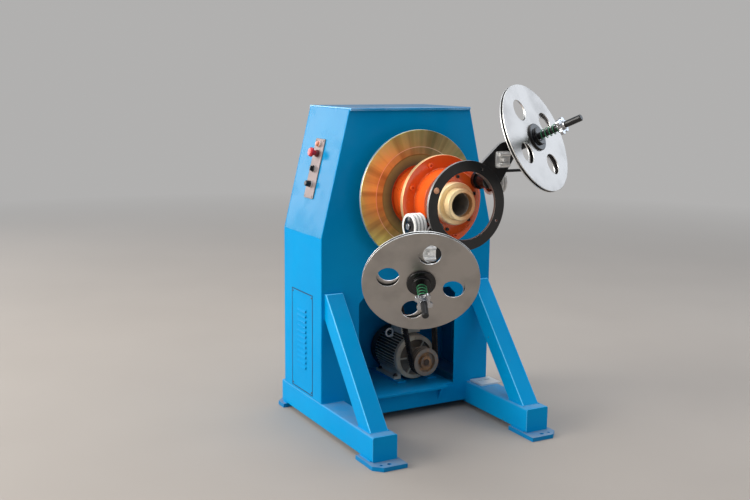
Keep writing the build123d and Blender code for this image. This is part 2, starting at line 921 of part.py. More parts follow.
# Spools: two pierced flanges on a core, with a stepped pressure washer
flange_back = flange_thickness + flange_gap
spool_bore = spindle_radius + running_fit
springs, nuts = [], []
for half, turn in halves.items():
    spool = spool_frame(turn)
    hole_angle = flange_hole_angle[half]
    for name, face, start in (
        ("outer_flange", 0, hole_angle),
        ("inner_flange", -flange_back, hole_angle + inner_flange_turn),
    ):
        with BuildPart() as flange:
            with BuildSketch(spool.offset(face - flange_thickness)):
                Circle(flange_radius)
                Circle(spool_bore, mode=Mode.SUBTRACT)
                with PolarLocations(flange_hole_circle, flange_hole_count, start_angle=start):
                    Circle(flange_hole_radius, mode=Mode.SUBTRACT)
            extrude(amount=flange_thickness)
        with BuildPart() as core:
            with BuildSketch(spool.offset(-flange_back)):
                Circle(core_radius)
                Circle(spool_bore, mode=Mode.SUBTRACT)
            extrude(amount=flange_gap)
        with BuildPart() as boss:
            with BuildSketch(spool.offset(-flange_back - flange_thickness - spool_boss_length)):
                Circle(spool_boss_radius)
                Circle(spool_bore, mode=Mode.SUBTRACT)
            extrude(amount=spool_boss_length)
        keep_set([flange, core, boss] if face else [flange], f"{half}_{name}")

    washer_top = washer_thickness + washer_step
    with BuildPart() as washer:
        add(
            turned(
                spool,
                [
                    (spool_bore, 0),
                    (washer_radius, 0),
                    (washer_radius, washer_thickness - 2),
                    (washer_radius - 2, washer_thickness),
                    (washer_step_radius, washer_thickness),
                    (washer_step_radius, washer_top - 2),
                    (washer_step_radius - 2, washer_top),
                    (spool_bore, washer_top),
                ],
            )
        )
    keep(washer, f"{half}_pressure_washer")

    spring_start = washer_top + seat_gap
    coil_pitch = (spring_end - spring_start) / spring_turns
    coils = [(spring_radius - spring_wire * 1.6, spring_start)]
    for n in range(spring_turns):
        base = spring_start + n * coil_pitch
        coils += [
            (spring_radius, base + coil_pitch * 0.1),
            (spring_radius, base + coil_pitch * 0.55),
            (spring_radius - spring_wire, base + coil_pitch * 0.75),
            (spring_radius - spring_wire, base + coil_pitch * 0.95),
        ]
    coils += [(spring_radius - spring_wire, spring_end), (spring_radius - spring_wire * 1.6, spring_end)]
    with BuildPart() as spring:
        add(turned(spool, coils))
    springs.append(spring)

    with BuildPart() as nut:
        add(
            turned(
                spool,
                [
                    (spindle_radius + press_gap, spring_end),
                    (nut_radius + nut_flare_width, spring_end),
                    (nut_radius + nut_flare_width, spring_end + nut_flare_width),
                    (nut_radius, spring_end + nut_collar_length),
                    (nut_radius, spring_end + nut_length),
                    (spindle_radius + press_gap, spring_end + nut_length),
                ],
            )
        )
        with BuildSketch(spool.offset(spring_end + nut_collar_length)):
            Circle(nut_lobe_distance - nut_flare_width)
            with PolarLocations(nut_lobe_distance, nut_lobe_count, start_angle=nut_lobe_turn):
                Circle(nut_lobe_radius)
            fillet(vertices(), nut_lobe_fillet)
            Circle(spindle_radius + press_gap, mode=Mode.SUBTRACT)
        extrude(amount=nut_lobe_thickness)
    nuts.append(nut)
keep_set(springs, "tension_springs")
keep_set(nuts, "lobed_nuts")

# Motor: end shield, finned stator with feet, fan cowl, eyebolt and terminal box
foot_bottom = motor_axis_height - motor_foot_height
with BuildPart() as stator:
    with BuildSketch(motor.offset(-stator_rear)):
        Circle(stator_radius)
        fin_length = fin_tip_radius - stator_radius + 4
        for n in range(fin_count):
            angle = -40 + n * 260 / (fin_count - 1)
            with PolarLocations(stator_radius - 4 + fin_length / 2, 1, start_angle=angle):
                Rectangle(fin_length, fin_thickness)
        for sign in (-1, 1):
            foot_middle = sign * foot_spacing / 2
            web_middle = foot_middle - sign * (foot_block_width - foot_web_thickness) / 2
            with Locations((foot_middle, -(motor_foot_height - foot_block_height / 2))):
                Rectangle(foot_block_width, foot_block_height)
            with Locations((web_middle, -(motor_foot_height - foot_web_height / 2))):
                Rectangle(foot_web_thickness, foot_web_height)
    extrude(amount=stator_rear - stator_front)
keep(stator, "motor_stator")

rim_face = stator_front - shield_rim_length
with BuildPart() as shield:
    add(
        turned(
            motor,
            [
                (motor_shaft_radius + running_fit, -stator_front),
                (fin_tip_radius - 2, -stator_front),
                (fin_tip_radius - 2, -(rim_face + 5)),
                (fin_tip_radius - 7, -rim_face),
                (stator_radius - 10, -rim_face),
                (stator_radius - 16, -(rim_face + shield_recess)),
                (shield_boss_radius, -(rim_face + shield_recess)),
                (shield_boss_radius - 6, -shield_face),
                (motor_shaft_radius + running_fit, -shield_face),
            ],
        )
    )
    with BuildSketch(motor.offset(-(rim_face + shield_recess))):
        rib_length = stator_radius - 10 - shield_boss_radius
        with PolarLocations(shield_boss_radius + rib_length / 2, shield_rib_count):
            Rectangle(rib_length, shield_rib_thickness)
    extrude(amount=shield_recess)
keep(shield, "motor_end_shield")

with BuildPart() as cowl:
    add(
        turned(
            motor,
            [
                (0, -cowl_rear),
                (cowl_radius - cowl_shoulder, -cowl_rear),
                (cowl_radius, -(cowl_rear - 16)),
                (cowl_radius, -stator_rear),
                (0, -stator_rear),
            ],
        )
    )
    with BuildSketch(motor.offset(-cowl_rear)):
        with PolarLocations(cowl_slot_circle, cowl_slot_count):
            SlotOverall(cowl_slot_length, cowl_slot_width)
    extrude(amount=cowl_slot_depth, mode=Mode.SUBTRACT)
keep(cowl, "motor_fan_cowl")

eye_angle = radians(eyebolt_angle)
eye_out = Vector(cos(eye_angle), 0, sin(eye_angle))
eye_base = motor.origin + Vector(0, stator_middle, 0) + eye_out * fin_tip_radius
eye_centre = eye_base + eye_out * (eyebolt_ring + eyebolt_wire)
eye_tangent = Vector(-sin(eye_angle), 0, cos(eye_angle))
eye_section = Plane(origin=eye_centre + eye_out * eyebolt_ring, x_dir=eye_out, z_dir=eye_tangent)
with BuildPart() as eyebolt:
    with BuildSketch(eye_section):
        Circle(eyebolt_wire)
    revolve(axis=Axis(eye_centre, (0, 1, 0)))
    with BuildSketch(Plane(origin=eye_base, x_dir=eye_tangent, z_dir=eye_out)):
        Circle(eyebolt_wire * 2)
    extrude(amount=7)
keep(eyebolt, "motor_eyebolt")

box_base = motor_axis_height + fin_tip_radius - 1
terminal_box_depth = stator_middle - terminal_box_setback
with BuildPart() as terminal_box:
    with BuildSketch(Plane.XY.offset(box_base)):
        with Locations((motor_offset, front_y + terminal_box_depth)):
            RectangleRounded(terminal_box_width, terminal_box_length, 8)
    extrude(amount=terminal_box_height - 10, taper=3)
    with BuildSketch(Plane.XY.offset(box_base + terminal_box_height - 10)):
        with Locations((motor_offset, front_y + terminal_box_depth)):
            RectangleRounded(terminal_box_width - 2, terminal_box_length - 2, 8)
    extrude(amount=10)
    with BuildSketch(motor.offset(-(terminal_box_depth + terminal_box_length / 2))):
        Circle(fin_tip_radius + 0.5)
    extrude(amount=terminal_box_length, mode=Mode.SUBTRACT)
keep(terminal_box, "motor_terminal_box")

rail_length = stator_rear - stator_front + 2 * rail_overhang
with BuildPart() as rails:
    for sign in (-1, 1):
        with BuildSketch(Plane.XY.offset(platform_top)):
            with Locations((motor_offset + sign * foot_spacing / 2, front_y + stator_middle)):
                Rectangle(rail_width, rail_length)
                SlotOverall(rail_length - 2 * rail_slot_inset, rail_slot_width, rotation=90, mode=Mode.SUBTRACT)
        extrude(amount=foot_bottom - platform_top)
keep(rails, "motor_slide_rails")

# Motor shaft and the two grooved pulleys
with BuildPart() as motor_shaft:
    with BuildSketch(motor.offset(-(stator_front - 2))):
        Circle(motor_shaft_radius)
    extrude(amount=stator_front - 2 - motor_shaft_front)
keep(motor_shaft, "motor_shaft")


def pulley_outline(bore, hub_radius, rim_radius, rim_wall):
    """Grooved rim on a web and a hub, as (radius, distance) corners forward of the cabinet's face."""
    middle = -(pulley_front + pulley_back) / 2
    corners = [(bore, -pulley_back), (hub_radius, -pulley_back), (hub_radius, -pulley_back + 14)]
    groove_floor = rim_radius - belt_height - groove_gap
    corners += [(groove_floor - rim_wall, -pulley_back + 14), (groove_floor - rim_wall, -pulley_back)]
    corners += [(rim_radius, -pulley_back)]
    for n in range(belt_count):
        centre = middle + (n - (belt_count - 1) / 2) * belt_pitch
        half_top = belt_width / 2 + groove_gap
        corners += [
            (rim_radius, centre - half_top),
            (groove_floor, centre - half_top),
            (groove_floor, centre + half_top),
            (rim_radius, centre + half_top),
        ]
    corners += [(rim_radius, -pulley_front), (groove_floor - rim_wall, -pulley_front)]
    corners += [(groove_floor - rim_wall, -pulley_front - 14), (hub_radius, -pulley_front - 14)]
    corners += [(hub_radius, -pulley_front), (bore, -pulley_front)]
    return corners


motor_bore = motor_shaft_radius + press_gap
with BuildPart() as motor_pulley:
    add(turned(motor, pulley_outline(motor_bore, motor_pulley_hub, motor_pulley_radius, motor_pulley_wall)))
keep(motor_pulley, "motor_pulley")

with BuildPart() as main_pulley:
    add(turned(head, pulley_outline(hub_bore, main_pulley_hub, main_pulley_radius, main_pulley_wall)))
keep(main_pulley, "main_pulley")

# Belts, closed loops in the pulley grooves
with BuildPart() as belts:
    for n in range(belt_count):
        centre = (pulley_front + pulley_back) / 2 + (n - (belt_count - 1) / 2) * belt_pitch
        belt_y = front_y + centre + belt_width / 2
        belt_plane = Plane(origin=(0, belt_y, 0), x_dir=(1, 0, 0), z_dir=(0, -1, 0))
        with BuildSketch(belt_plane):
            for depth, mode in ((0, Mode.ADD), (belt_height, Mode.SUBTRACT)):
                with BuildSketch(mode=Mode.PRIVATE) as loop:
                    with Locations((0, bore_height)):
                        Circle(main_pulley_radius - depth)
                    with Locations((motor_offset, motor_axis_height)):
                        Circle(motor_pulley_radius - depth)
                    make_hull()
                add(loop.sketch, mode=mode)
        extrude(amount=belt_width)
keep(belts, "drive_belts")
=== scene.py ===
import bmesh
import bpy
import json
from math import acos, cos, hypot, pi, radians, sin
from mathutils import Matrix, Vector


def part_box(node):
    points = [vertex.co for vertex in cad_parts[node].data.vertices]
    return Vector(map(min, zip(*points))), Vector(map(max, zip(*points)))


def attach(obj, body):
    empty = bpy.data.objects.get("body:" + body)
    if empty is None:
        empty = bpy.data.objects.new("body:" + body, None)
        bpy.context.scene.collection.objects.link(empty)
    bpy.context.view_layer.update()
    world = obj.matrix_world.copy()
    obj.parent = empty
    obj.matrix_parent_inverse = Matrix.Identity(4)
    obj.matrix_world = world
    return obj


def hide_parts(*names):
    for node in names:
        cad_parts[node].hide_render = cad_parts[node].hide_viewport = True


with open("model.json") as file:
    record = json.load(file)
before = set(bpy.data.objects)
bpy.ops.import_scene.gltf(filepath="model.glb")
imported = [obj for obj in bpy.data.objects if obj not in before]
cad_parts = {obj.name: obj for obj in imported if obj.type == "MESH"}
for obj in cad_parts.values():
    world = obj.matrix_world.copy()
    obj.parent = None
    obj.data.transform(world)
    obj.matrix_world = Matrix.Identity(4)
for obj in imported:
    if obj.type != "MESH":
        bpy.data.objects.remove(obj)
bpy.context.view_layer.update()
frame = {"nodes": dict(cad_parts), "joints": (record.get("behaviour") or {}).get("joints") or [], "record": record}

record = frame["record"]
body_of = {node: body for body, nodes in record["behaviour"]["bodies"].items() for node in nodes}
joint = {item["name"]: item for item in frame["joints"]}


def middle_of(node):
    """Middle of a node's box."""
    low, high = (Vector(corner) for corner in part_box(node))
    return (low + high) / 2


# Places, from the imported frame. The bore runs forward along -Y.
head_centre = Vector(joint["head_spin"]["pos_m"])
motor_centre = Vector(joint["motor_spin"]["pos_m"])
front_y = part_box("front_panel")[0][1]
back_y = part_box("back_panel")[1][1]
half_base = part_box("front_panel")[1][0]
foot_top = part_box("foot_plates")[1][2]
rail_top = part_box("motor_slide_rails")[1][2]
brace_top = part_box("braces")[1][2]
skid_low, skid_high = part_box("skids")
beam_low, beam_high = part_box("cross_beams")
door_low, door_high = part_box("vent_doors")
roof_low, roof_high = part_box("roof_panel")
shaft_low, shaft_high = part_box("hollow_shaft")
skid_top = skid_high[2]

# Camera at the photograph's angle, in degrees, with its lens in millimetres
camera_place = (-2.2353, -3.7175, 1.514)
camera_yaw = 28.827
camera_pitch = -9.884
camera_roll = -0.586
camera_lens = 48.88

# Radii where one finish gives way to another, about the bore, the motor or a roller
disc_recess = 0.1775
disc_edge = 0.25
hub_rim_edge = 0.180
nose_tube_edge = 0.066
bore_wall_share = 0.9
fin_root = 0.0955
shield_rim_edge = 0.083
groove_floor = (0.02, 0.0475)

# Faces forward of the cabinet's front, and the end shield's face behind it
front_housing_face = 0.016
hub_rim_face = 0.256
drum_face = 0.330
ring_face = 0.437
plates_from, plates_to = 0.410, 0.438
shield_rim_depth = 0.110

# The slope's fold below the roof, and heights and a place on the control plate
slope_drop = 0.538
plate_half_thickness = 0.0025
collar_height = 0.0085
stop_collar_height = 0.017
lamp_place = -0.05

# Fasteners
screw_segments = 20
rim_screw_circle = 0.158
drum_screw_circle = 0.108
ring_screw_circle = 0.1575
ring_screw_angle = radians(155)
front_bolt_circle = 0.150
rear_bolt_circle = 0.122
shield_screw_circle = 0.090
door_screw_inset = (0.022, 0.020)
plate_screw_spacing = (0.070, 0.242)
foot_bolt_spacing = (0.170, 0.140)
foot_lug_height = 0.012

# Guide rods and roller covers
guide_rod_height = 0.130
guide_rod_reach = 0.007
arm_side = 0.2
cover_outline = [(0.0095, 0), (0.0095, 0.0007), (0.039, 0.0007), (0.040, 0)]
cover_segments = 48

# Tension springs
spring_start = 0.0203
spring_end = 0.105
spring_radius = 0.0200
spring_wire = 0.0018
spring_turns = 4.5

# Drive belts
belt_outer_main = 0.131
belt_outer_motor = 0.063
belt_body_height = 0.005
belt_cog_height = 0.003
belt_cog_length = 0.007
belt_cogs = 190
belt_width = 0.010
belt_spacing = 0.015
belt_arc_steps = 40

# Weld beads, and the dark strips round the doors that are painted shadow in their gaps
weld_radius = 0.0032
weld_pitch = 0.003
brace_half_width = 0.040
brace_foot_reach = 0.415
brace_foot_length = 0.1044
seat_bottom = 0.490
corner_inset = 0.004
beam_weld_end = 0.006
front_foot_weld = (0.012, 0.100)
rear_foot_weld = (-0.048, -0.008)
door_shadow_reach = 0.0022
door_shadow_lift = 0.0006


def paint(red, green, blue):
    """Linear colour of a shade given in display values from 0 to 255."""
    shade = []
    for value in (red, green, blue):
        value /= 255
        shade.append(value / 12.92 if value <= 0.04045 else ((value + 0.055) / 1.055) ** 2.4)
    return (*shade, 1.0)


# Node trees
class Term:
    """An output of a node, so that arithmetic on it adds Math nodes."""

    def __init__(self, wiring, socket):
        self.wiring = wiring
        self.socket = socket

    def maths(self, operation, *others):
        inputs = dict(enumerate((self, *others)))
        return self.wiring.node("ShaderNodeMath", {"operation": operation}, inputs)

    def __add__(self, other):
        return self.maths("ADD", other)

    __radd__ = __add__

    def __mul__(self, other):
        return self.maths("MULTIPLY", other)

    __rmul__ = __mul__

    def __sub__(self, other):
        return self.maths("SUBTRACT", other)

    def __rsub__(self, other):
        return self.maths("MULTIPLY", -1.0).maths("ADD", other)

    def __truediv__(self, other):
        return self.maths("DIVIDE", other)

    def clipped(self):
        return self.wiring.node("ShaderNodeClamp", {}, {0: self})

    def above(self, level, softness):
        """0 below the level and 1 above it, over a soft step."""
        return ((self - level) / softness).clipped()

    def beside(self, name):
        """Another output of the same node."""
        return Term(self.wiring, self.socket.node.outputs[name])


class Wiring:
    """A node tree whose nodes all come from one method."""

    def __init__(self, tree):
        self.tree = tree
        self.tree.nodes.clear()

    def node(self, kind, settings, inputs, output=0):
        """Adds a node: its settings first, then the values or links of its sockets."""
        made = self.tree.nodes.new(kind)
        for key, value in settings.items():
            if key == "stops":
                for stop, (position, colour) in zip(made.color_ramp.elements, value):
                    stop.position = position
                    stop.color = colour
            else:
                setattr(made, key, value)
        self.fill(made, inputs)
        return Term(self, made.outputs[output])

    def end(self, kind, inputs):
        """Adds the tree's last node, which has no outputs."""
        made = self.tree.nodes.new(kind)
        self.fill(made, inputs)
        return made

    def fill(self, made, inputs):
        for key, value in inputs.items():
            if isinstance(value, Term):
                self.tree.links.new(value.socket, made.inputs[key])
            else:
                made.inputs[key].default_value = value


class Finish(Wiring):
    """A material on object coordinates, with one principled surface."""

    def __init__(self, name, sockets):
        self.material = bpy.data.materials.new(name)
        self.material.use_nodes = True
        super().__init__(self.material.node_tree)
        self.surface = self.node("ShaderNodeBsdfPrincipled", {}, {})
        self.output = self.end("ShaderNodeOutputMaterial", {"Surface": self.surface})
        self.place = self.node("ShaderNodeTexCoord", {}, {}, "Object")
        self.set(sockets)

    def set(self, sockets):
        self.fill(self.surface.socket.node, sockets)

    def part(self, vector, axis):
        return self.node("ShaderNodeSeparateXYZ", {}, {0: vector}, axis)

    def vector(self, operation, *vectors, output=0):
        inputs = dict(enumerate(vectors))
        return self.node("ShaderNodeVectorMath", {"operation": operation}, inputs, output)

    def noise(self, scale, detail=2.0, vector=None):
        inputs = {"Vector": vector or self.place, "Scale": scale, "Detail": detail}
        return self.node("ShaderNodeTexNoise", {}, inputs)

    def blend(self, factor, first, second):
        inputs = {0: factor, 6: first, 7: second}
        return self.node("ShaderNodeMix", {"data_type": "RGBA"}, inputs, 2)

    def upward(self):
        """1 where the surface faces up and 0 where it stands upright or faces down."""
        normal = self.node("ShaderNodeTexCoord", {}, {}, "Normal")
        return self.part(normal, "Z").clipped()

    def raised(self, height, depth, strength):
        inputs = {"Height": height, "Distance": depth, "Strength": strength}
        self.set({"Normal": self.node("ShaderNodeBump", {}, inputs)})

    def about(self, centre):
        """Direction from the bore's or the motor's axis, and the distance from it."""
        flat = self.vector("MULTIPLY", self.vector("SUBTRACT", self.place, centre), (1, 0, 1))
        return self.vector("NORMALIZE", flat), self.vector("LENGTH", flat, output="Value")

    def leftward(self, direction):
        """1 to the left of the axis and 0 to its right."""
        return 0.5 - self.part(direction, "X") * 0.5

    def rings(self, distance):
        """Fine rings that a lathe leaves about the axis."""
        inputs = {"W": distance, "Scale": 620.0}
        return self.node("ShaderNodeTexNoise", {"noise_dimensions": "1D"}, inputs)


# Finishes
def enamel(name, colour, deep, roughness, sheen, dust_and_sheen=0.0, chips=0.0):
    """Sprayed gloss paint with orange peel, a cloudy tone, grey on upward faces as settled dust and painted sheen,
    and small chips.
    """
    gloss = {"Coat Roughness": 0.12, "Coat Weight": sheen, "Specular IOR Level": sheen}
    finish = Finish(name, gloss)
    cloud = finish.noise(2.6, 4.0)
    smudge = finish.noise(11.0, 5.0)
    colour = finish.blend(cloud.above(0.35, 0.35), deep, colour)
    tone = roughness + 0.16 * smudge.above(0.48, 0.22)
    # Upward faces blend to a pale grey: settled dust, and where it is heavy, as on the roof and the feet, also a
    # painted sheen.
    if dust_and_sheen:
        dust_and_sheen_mask = finish.upward() * dust_and_sheen * smudge.above(0.10, 0.60)
        colour = finish.blend(dust_and_sheen_mask, colour, paint(150, 150, 148))
        tone = tone + 0.3 * dust_and_sheen_mask
    if chips:
        chipped = finish.noise(60.0, 6.0).above(0.72, 0.012) * chips
        colour = finish.blend(chipped, colour, paint(96, 74, 60))
        tone = tone + 0.25 * chipped
    finish.set({"Base Color": colour, "Roughness": tone})
    peel = finish.noise(260.0, 1.0)
    finish.raised(peel, depth=0.0004, strength=0.10)
    return finish.material


def faced_brass(name, bright, deep, streaks, roughness, metal, recess):
    """Brass faced on a lathe: paler on its left with radial gold and brown streaks as painted reflection, fine
    rings, and a dull recess darkening towards the hub as painted shade, within a thin painted highlight line.
    """
    finish = Finish(name, {})
    direction, distance = finish.about(head_centre)
    wedge = finish.noise(streaks, 3.0, direction)
    narrow = finish.noise(streaks * 5, 2.0, direction)
    broad = finish.noise(streaks * 1.9, 2.0, finish.vector("ADD", direction, (4.3, 2.1, 7.7)))
    stain = finish.noise(7.0, 5.0)
    rings = finish.rings(distance)
    gold, brown, smoke = paint(244, 220, 160), paint(140, 108, 54), paint(112, 98, 62)
    # A paler left side and radial gold and brown streaks: painted reflection.
    shade = finish.blend(finish.leftward(direction).above(0.35, 0.5), deep, bright)
    shade = finish.blend((wedge * 0.7 + narrow * 0.3).above(0.40, 0.20) * 0.5, shade, gold)
    shade = finish.blend((broad * 0.7 + narrow * 0.3).above(0.44, 0.20) * 0.55, shade, brown)
    shade = finish.blend(stain.above(0.52, 0.30) * 0.45, shade, smoke)
    # Inside the step the disc dulls and darkens towards the hub as painted shade, and a thin pale line at the step
    # is a painted highlight.
    highlight_line = recess * 1.17
    inside = 1 - distance.above(recess, 0.0015)
    faded, olive = paint(128, 122, 84), paint(136, 138, 84)
    shadow, gleam = paint(70, 66, 56), paint(255, 244, 214)
    shade = finish.blend((1 - distance.above(highlight_line, 0.004)) * 0.35, shade, faded)
    shade = finish.blend(inside * 0.85, shade, olive)
    shade = finish.blend((1 - distance.above(recess * 0.78, 0.030)) * 0.7, shade, shadow)
    shade = finish.blend((1 - ((distance - highlight_line) * 420).maths("ABSOLUTE")).clipped(), shade, gleam)
    tone = roughness + 0.14 * wedge + 0.10 * rings + 0.25 * inside
    finish.set({"Base Color": shade, "Roughness": tone, "Metallic": metal - 0.5 * inside})
    finish.raised(rings, depth=0.0003, strength=0.25)
    return finish.material


def smooth_brass(name, bright, deep, roughness, metal):
    """Brass turned smooth, paler on its left and browner on its right: painted light and shade."""
    finish = Finish(name, {"Metallic": metal})
    direction, distance = finish.about(head_centre)
    stain = finish.noise(16.0, 4.0)
    shade = finish.blend(finish.leftward(direction).above(0.30, 0.45), deep, bright)
    shade = finish.blend(stain.above(0.50, 0.25) * 0.18, shade, paint(196, 150, 96))
    finish.set({"Base Color": shade, "Roughness": roughness + 0.12 * stain})
    finish.raised(finish.rings(distance), depth=0.0002, strength=0.20)
    return finish.material


def machined_steel(name, colour, roughness, scratch=0.10, metal=1.0):
    """Bare steel with a fine grain, faint scratches and handling marks."""
    finish = Finish(name, {"Metallic": metal})
    grain = finish.noise(140.0, 3.0, finish.vector("MULTIPLY", finish.place, (1.0, 1.0, 9.0)))
    marks = finish.noise(9.0, 5.0)
    dull = tuple(0.72 * value for value in colour[:3]) + (1.0,)
    finish.set({"Base Color": finish.blend(marks.above(0.46, 0.22) * 0.6, colour, dull)})
    finish.set({"Roughness": roughness + scratch * grain + 0.12 * marks})
    finish.raised(grain, depth=0.0002, strength=0.12)
    return finish.material


def satin_black(name, roughness):
    """Black oxide or satin paint, a little brown where it has rubbed."""
    finish = Finish(name, {"Specular IOR Level": 0.45})
    rub = finish.noise(14.0, 5.0)
    shade = finish.blend(rub.above(0.55, 0.2) * 0.5, paint(14, 14, 16), paint(44, 36, 32))
    finish.set({"Base Color": shade, "Roughness": roughness + 0.2 * rub})
    finish.raised(finish.noise(420.0, 2.0), depth=0.0002, strength=0.15)
    return finish.material


def cast_iron(name, colour, deep, root=0.0):
    """Painted casting with a sandy skin, dust on top and painted shade in the gaps within the fins' roots."""
    finish = Finish(name, {"Specular IOR Level": 0.35})
    grime = finish.noise(9.0, 5.0)
    dust_and_sheen_mask = finish.upward() * grime.above(0.28, 0.3)
    shade = finish.blend(grime.above(0.40, 0.30), deep, colour)
    shade = finish.blend(dust_and_sheen_mask * 0.55, shade, paint(158, 152, 142))
    direction, distance = finish.about(motor_centre)
    # Near black within the fins' root circle: painted shade between the fins.
    fin_gap_shade = (1 - distance.above(root, 0.005)).clipped()
    shade = finish.blend(fin_gap_shade * 0.85, shade, paint(20, 24, 26))
    finish.set({"Base Color": shade, "Roughness": 0.55 + 0.25 * grime})
    finish.raised(finish.noise(520.0, 3.0), depth=0.0006, strength=0.35)
    return finish.material


def rusted_steel(name):
    """Pulley steel with brown rust that gathers towards the motor's shaft."""
    finish = Finish(name, {})
    direction, distance = finish.about(motor_centre)
    blotch = finish.noise(38.0, 6.0)
    rust = (blotch + (1 - distance / 0.055).clipped() * 0.55).above(0.56, 0.22)
    shade = finish.blend(blotch.above(0.35, 0.3), paint(96, 70, 52), paint(166, 128, 92))
    shade = finish.blend(rust, paint(124, 114, 104), shade)
    finish.set({"Base Color": shade, "Roughness": 0.42 + 0.4 * rust, "Metallic": 0.35 - 0.3 * rust})
    finish.raised(blotch, depth=0.0008, strength=0.4)
    return finish.material


def smooth_plastic(name, colour, shade, roughness):
    """Moulded or turned plastic, with slight toning where it is handled."""
    finish = Finish(name, {"Specular IOR Level": 0.5})
    tone = finish.noise(18.0, 4.0)
    finish.set({"Base Color": finish.blend(tone.above(0.45, 0.3) * 0.6, colour, shade)})
    finish.set({"Roughness": roughness + 0.12 * tone})
    finish.raised(finish.noise(300.0, 2.0), depth=0.0001, strength=0.1)
    return finish.material


def dusty_rubber(name):
    """Matt black rubber, grey where its dust gathers."""
    finish = Finish(name, {"Specular IOR Level": 0.3})
    dust_and_sheen = finish.noise(60.0, 5.0)
    shade = finish.blend(dust_and_sheen.above(0.45, 0.3), paint(20, 20, 22), paint(58, 55, 52))
    finish.set({"Base Color": shade, "Roughness": 0.65 + 0.2 * dust_and_sheen})
    finish.raised(finish.noise(900.0, 2.0), depth=0.0003, strength=0.3)
    return finish.material


blues = paint(0, 152, 212), paint(0, 141, 203)
slope_shaded_blues = paint(0, 136, 188), paint(0, 128, 180)
foot_blues = paint(0, 132, 190), paint(0, 118, 176)
edge_highlight_blues = paint(110, 206, 250), paint(80, 190, 240)
oranges = paint(250, 112, 44), paint(236, 92, 32)
# The heavy grey on top of the roof and the feet is settled dust and painted sheen.
cabinet_blue = enamel("cabinet_blue", *blues, roughness=0.30, sheen=0.03, dust_and_sheen=0.04)
# The slopes take a darker copy of the cabinet's blue, as painted shade, with more sheen.
slope_blue = enamel("slope_blue", *slope_shaded_blues, roughness=0.20, sheen=0.065, dust_and_sheen=0.04)
roof_blue = enamel("roof_blue", *blues, roughness=0.22, sheen=0.70, dust_and_sheen=0.42)
frame_blue = enamel("frame_blue", *blues, roughness=0.28, sheen=0.04, dust_and_sheen=0.02, chips=0.4)
skid_blue = enamel("skid_blue", *blues, roughness=0.28, sheen=0.04, dust_and_sheen=0.40, chips=0.4)
foot_blue = enamel("foot_blue", *foot_blues, roughness=0.28, sheen=0.10, dust_and_sheen=0.70, chips=0.4)
# A paler, glossier blue on the eased edges of the braces, the roof and the end caps: a painted highlight along the
# edges.
edge_blue = enamel("edge_blue", *edge_highlight_blues, roughness=0.16, sheen=0.10)
hub_orange = enamel("hub_orange", *oranges, roughness=0.18, sheen=0.30, chips=0.3)

# The disc's paler and deeper tones, the paler one on its left: painted reflection.
disc_tones = paint(234, 228, 132), paint(140, 142, 98)
# Lit and shaded tones of the nose and the tube, the lit one on the left: painted light and shade.
nose_tones = paint(255, 232, 184), paint(216, 152, 98)
tube_tones = paint(255, 228, 176), paint(200, 142, 92)
disc_brass = faced_brass(
    "disc_brass", *disc_tones, streaks=3.2, roughness=0.34, metal=0.86, recess=disc_recess
)
nose_brass = smooth_brass("nose_brass", *nose_tones, roughness=0.26, metal=0.20)
tube_brass = smooth_brass("tube_brass", *tube_tones, roughness=0.26, metal=0.30)

copper, pale_steel = paint(240, 178, 140), paint(242, 242, 240)
screw_copper = machined_steel("screw_copper", copper, roughness=0.34, scratch=0.06, metal=0.6)
clamp_steel = machined_steel("clamp_steel", pale_steel, roughness=0.20, scratch=0.06, metal=0.45)
flange_steel = machined_steel("flange_steel", paint(178, 173, 168), roughness=0.24, scratch=0.06)
bare_edge = machined_steel("bare_edge", paint(240, 240, 238), roughness=0.34, scratch=0.05)
cut_edge = machined_steel("cut_edge", paint(176, 174, 172), roughness=0.38, scratch=0.05)
rim_gold = machined_steel("rim_gold", paint(255, 214, 160), roughness=0.40, scratch=0.05)
chrome = machined_steel("chrome", paint(192, 194, 198), roughness=0.15, scratch=0.04)
oiled_steel = machined_steel("oiled_steel", paint(84, 80, 78), roughness=0.34)
plate_steel = machined_steel("plate_steel", paint(146, 133, 132), roughness=0.42, metal=0.6)
lug_steel = machined_steel("lug_steel", paint(232, 232, 230), roughness=0.30, metal=0.6)
shaft_steel = machined_steel("shaft_steel", paint(150, 148, 146), roughness=0.30)
bore_steel = machined_steel("bore_steel", paint(170, 164, 156), roughness=0.30, metal=0.4)
shaft_rust = machined_steel("shaft_rust", paint(74, 60, 50), roughness=0.60, metal=0.3)
pulley_rust = rusted_steel("pulley_rust")

motor_paint = cast_iron("motor_paint", paint(206, 208, 198), paint(164, 166, 158), root=fin_root)
shield_paint = cast_iron("shield_paint", paint(206, 198, 178), paint(170, 163, 148))
shield_grime = cast_iron("shield_grime", paint(140, 133, 122), paint(96, 88, 78))
cowl_paint = cast_iron("cowl_paint", paint(50, 53, 55), paint(30, 33, 35))

ring_black = satin_black("ring_black", roughness=0.34)
boss_black = smooth_plastic("boss_black", paint(12, 12, 14), paint(26, 25, 26), roughness=0.16)
switch_black = smooth_plastic("switch_black", paint(18, 18, 20), paint(34, 34, 36), roughness=0.30)
nylon_tones = paint(236, 236, 234), paint(214, 212, 206)
roller_nylon = smooth_plastic("roller_nylon", *nylon_tones, roughness=0.30)
roller_worn = smooth_plastic("roller_worn", paint(96, 94, 92), paint(60, 58, 58), roughness=0.40)
spring_green = smooth_plastic("spring_green", paint(52, 140, 92), paint(24, 80, 52), roughness=0.28)
stop_red = smooth_plastic("stop_red", paint(196, 34, 44), paint(160, 20, 28), roughness=0.20)
stop_shade = smooth_plastic("stop_shade", paint(118, 42, 48), paint(84, 30, 36), roughness=0.35)
lamp_lens = smooth_plastic("lamp_lens", paint(226, 150, 120), paint(206, 120, 92), roughness=0.18)
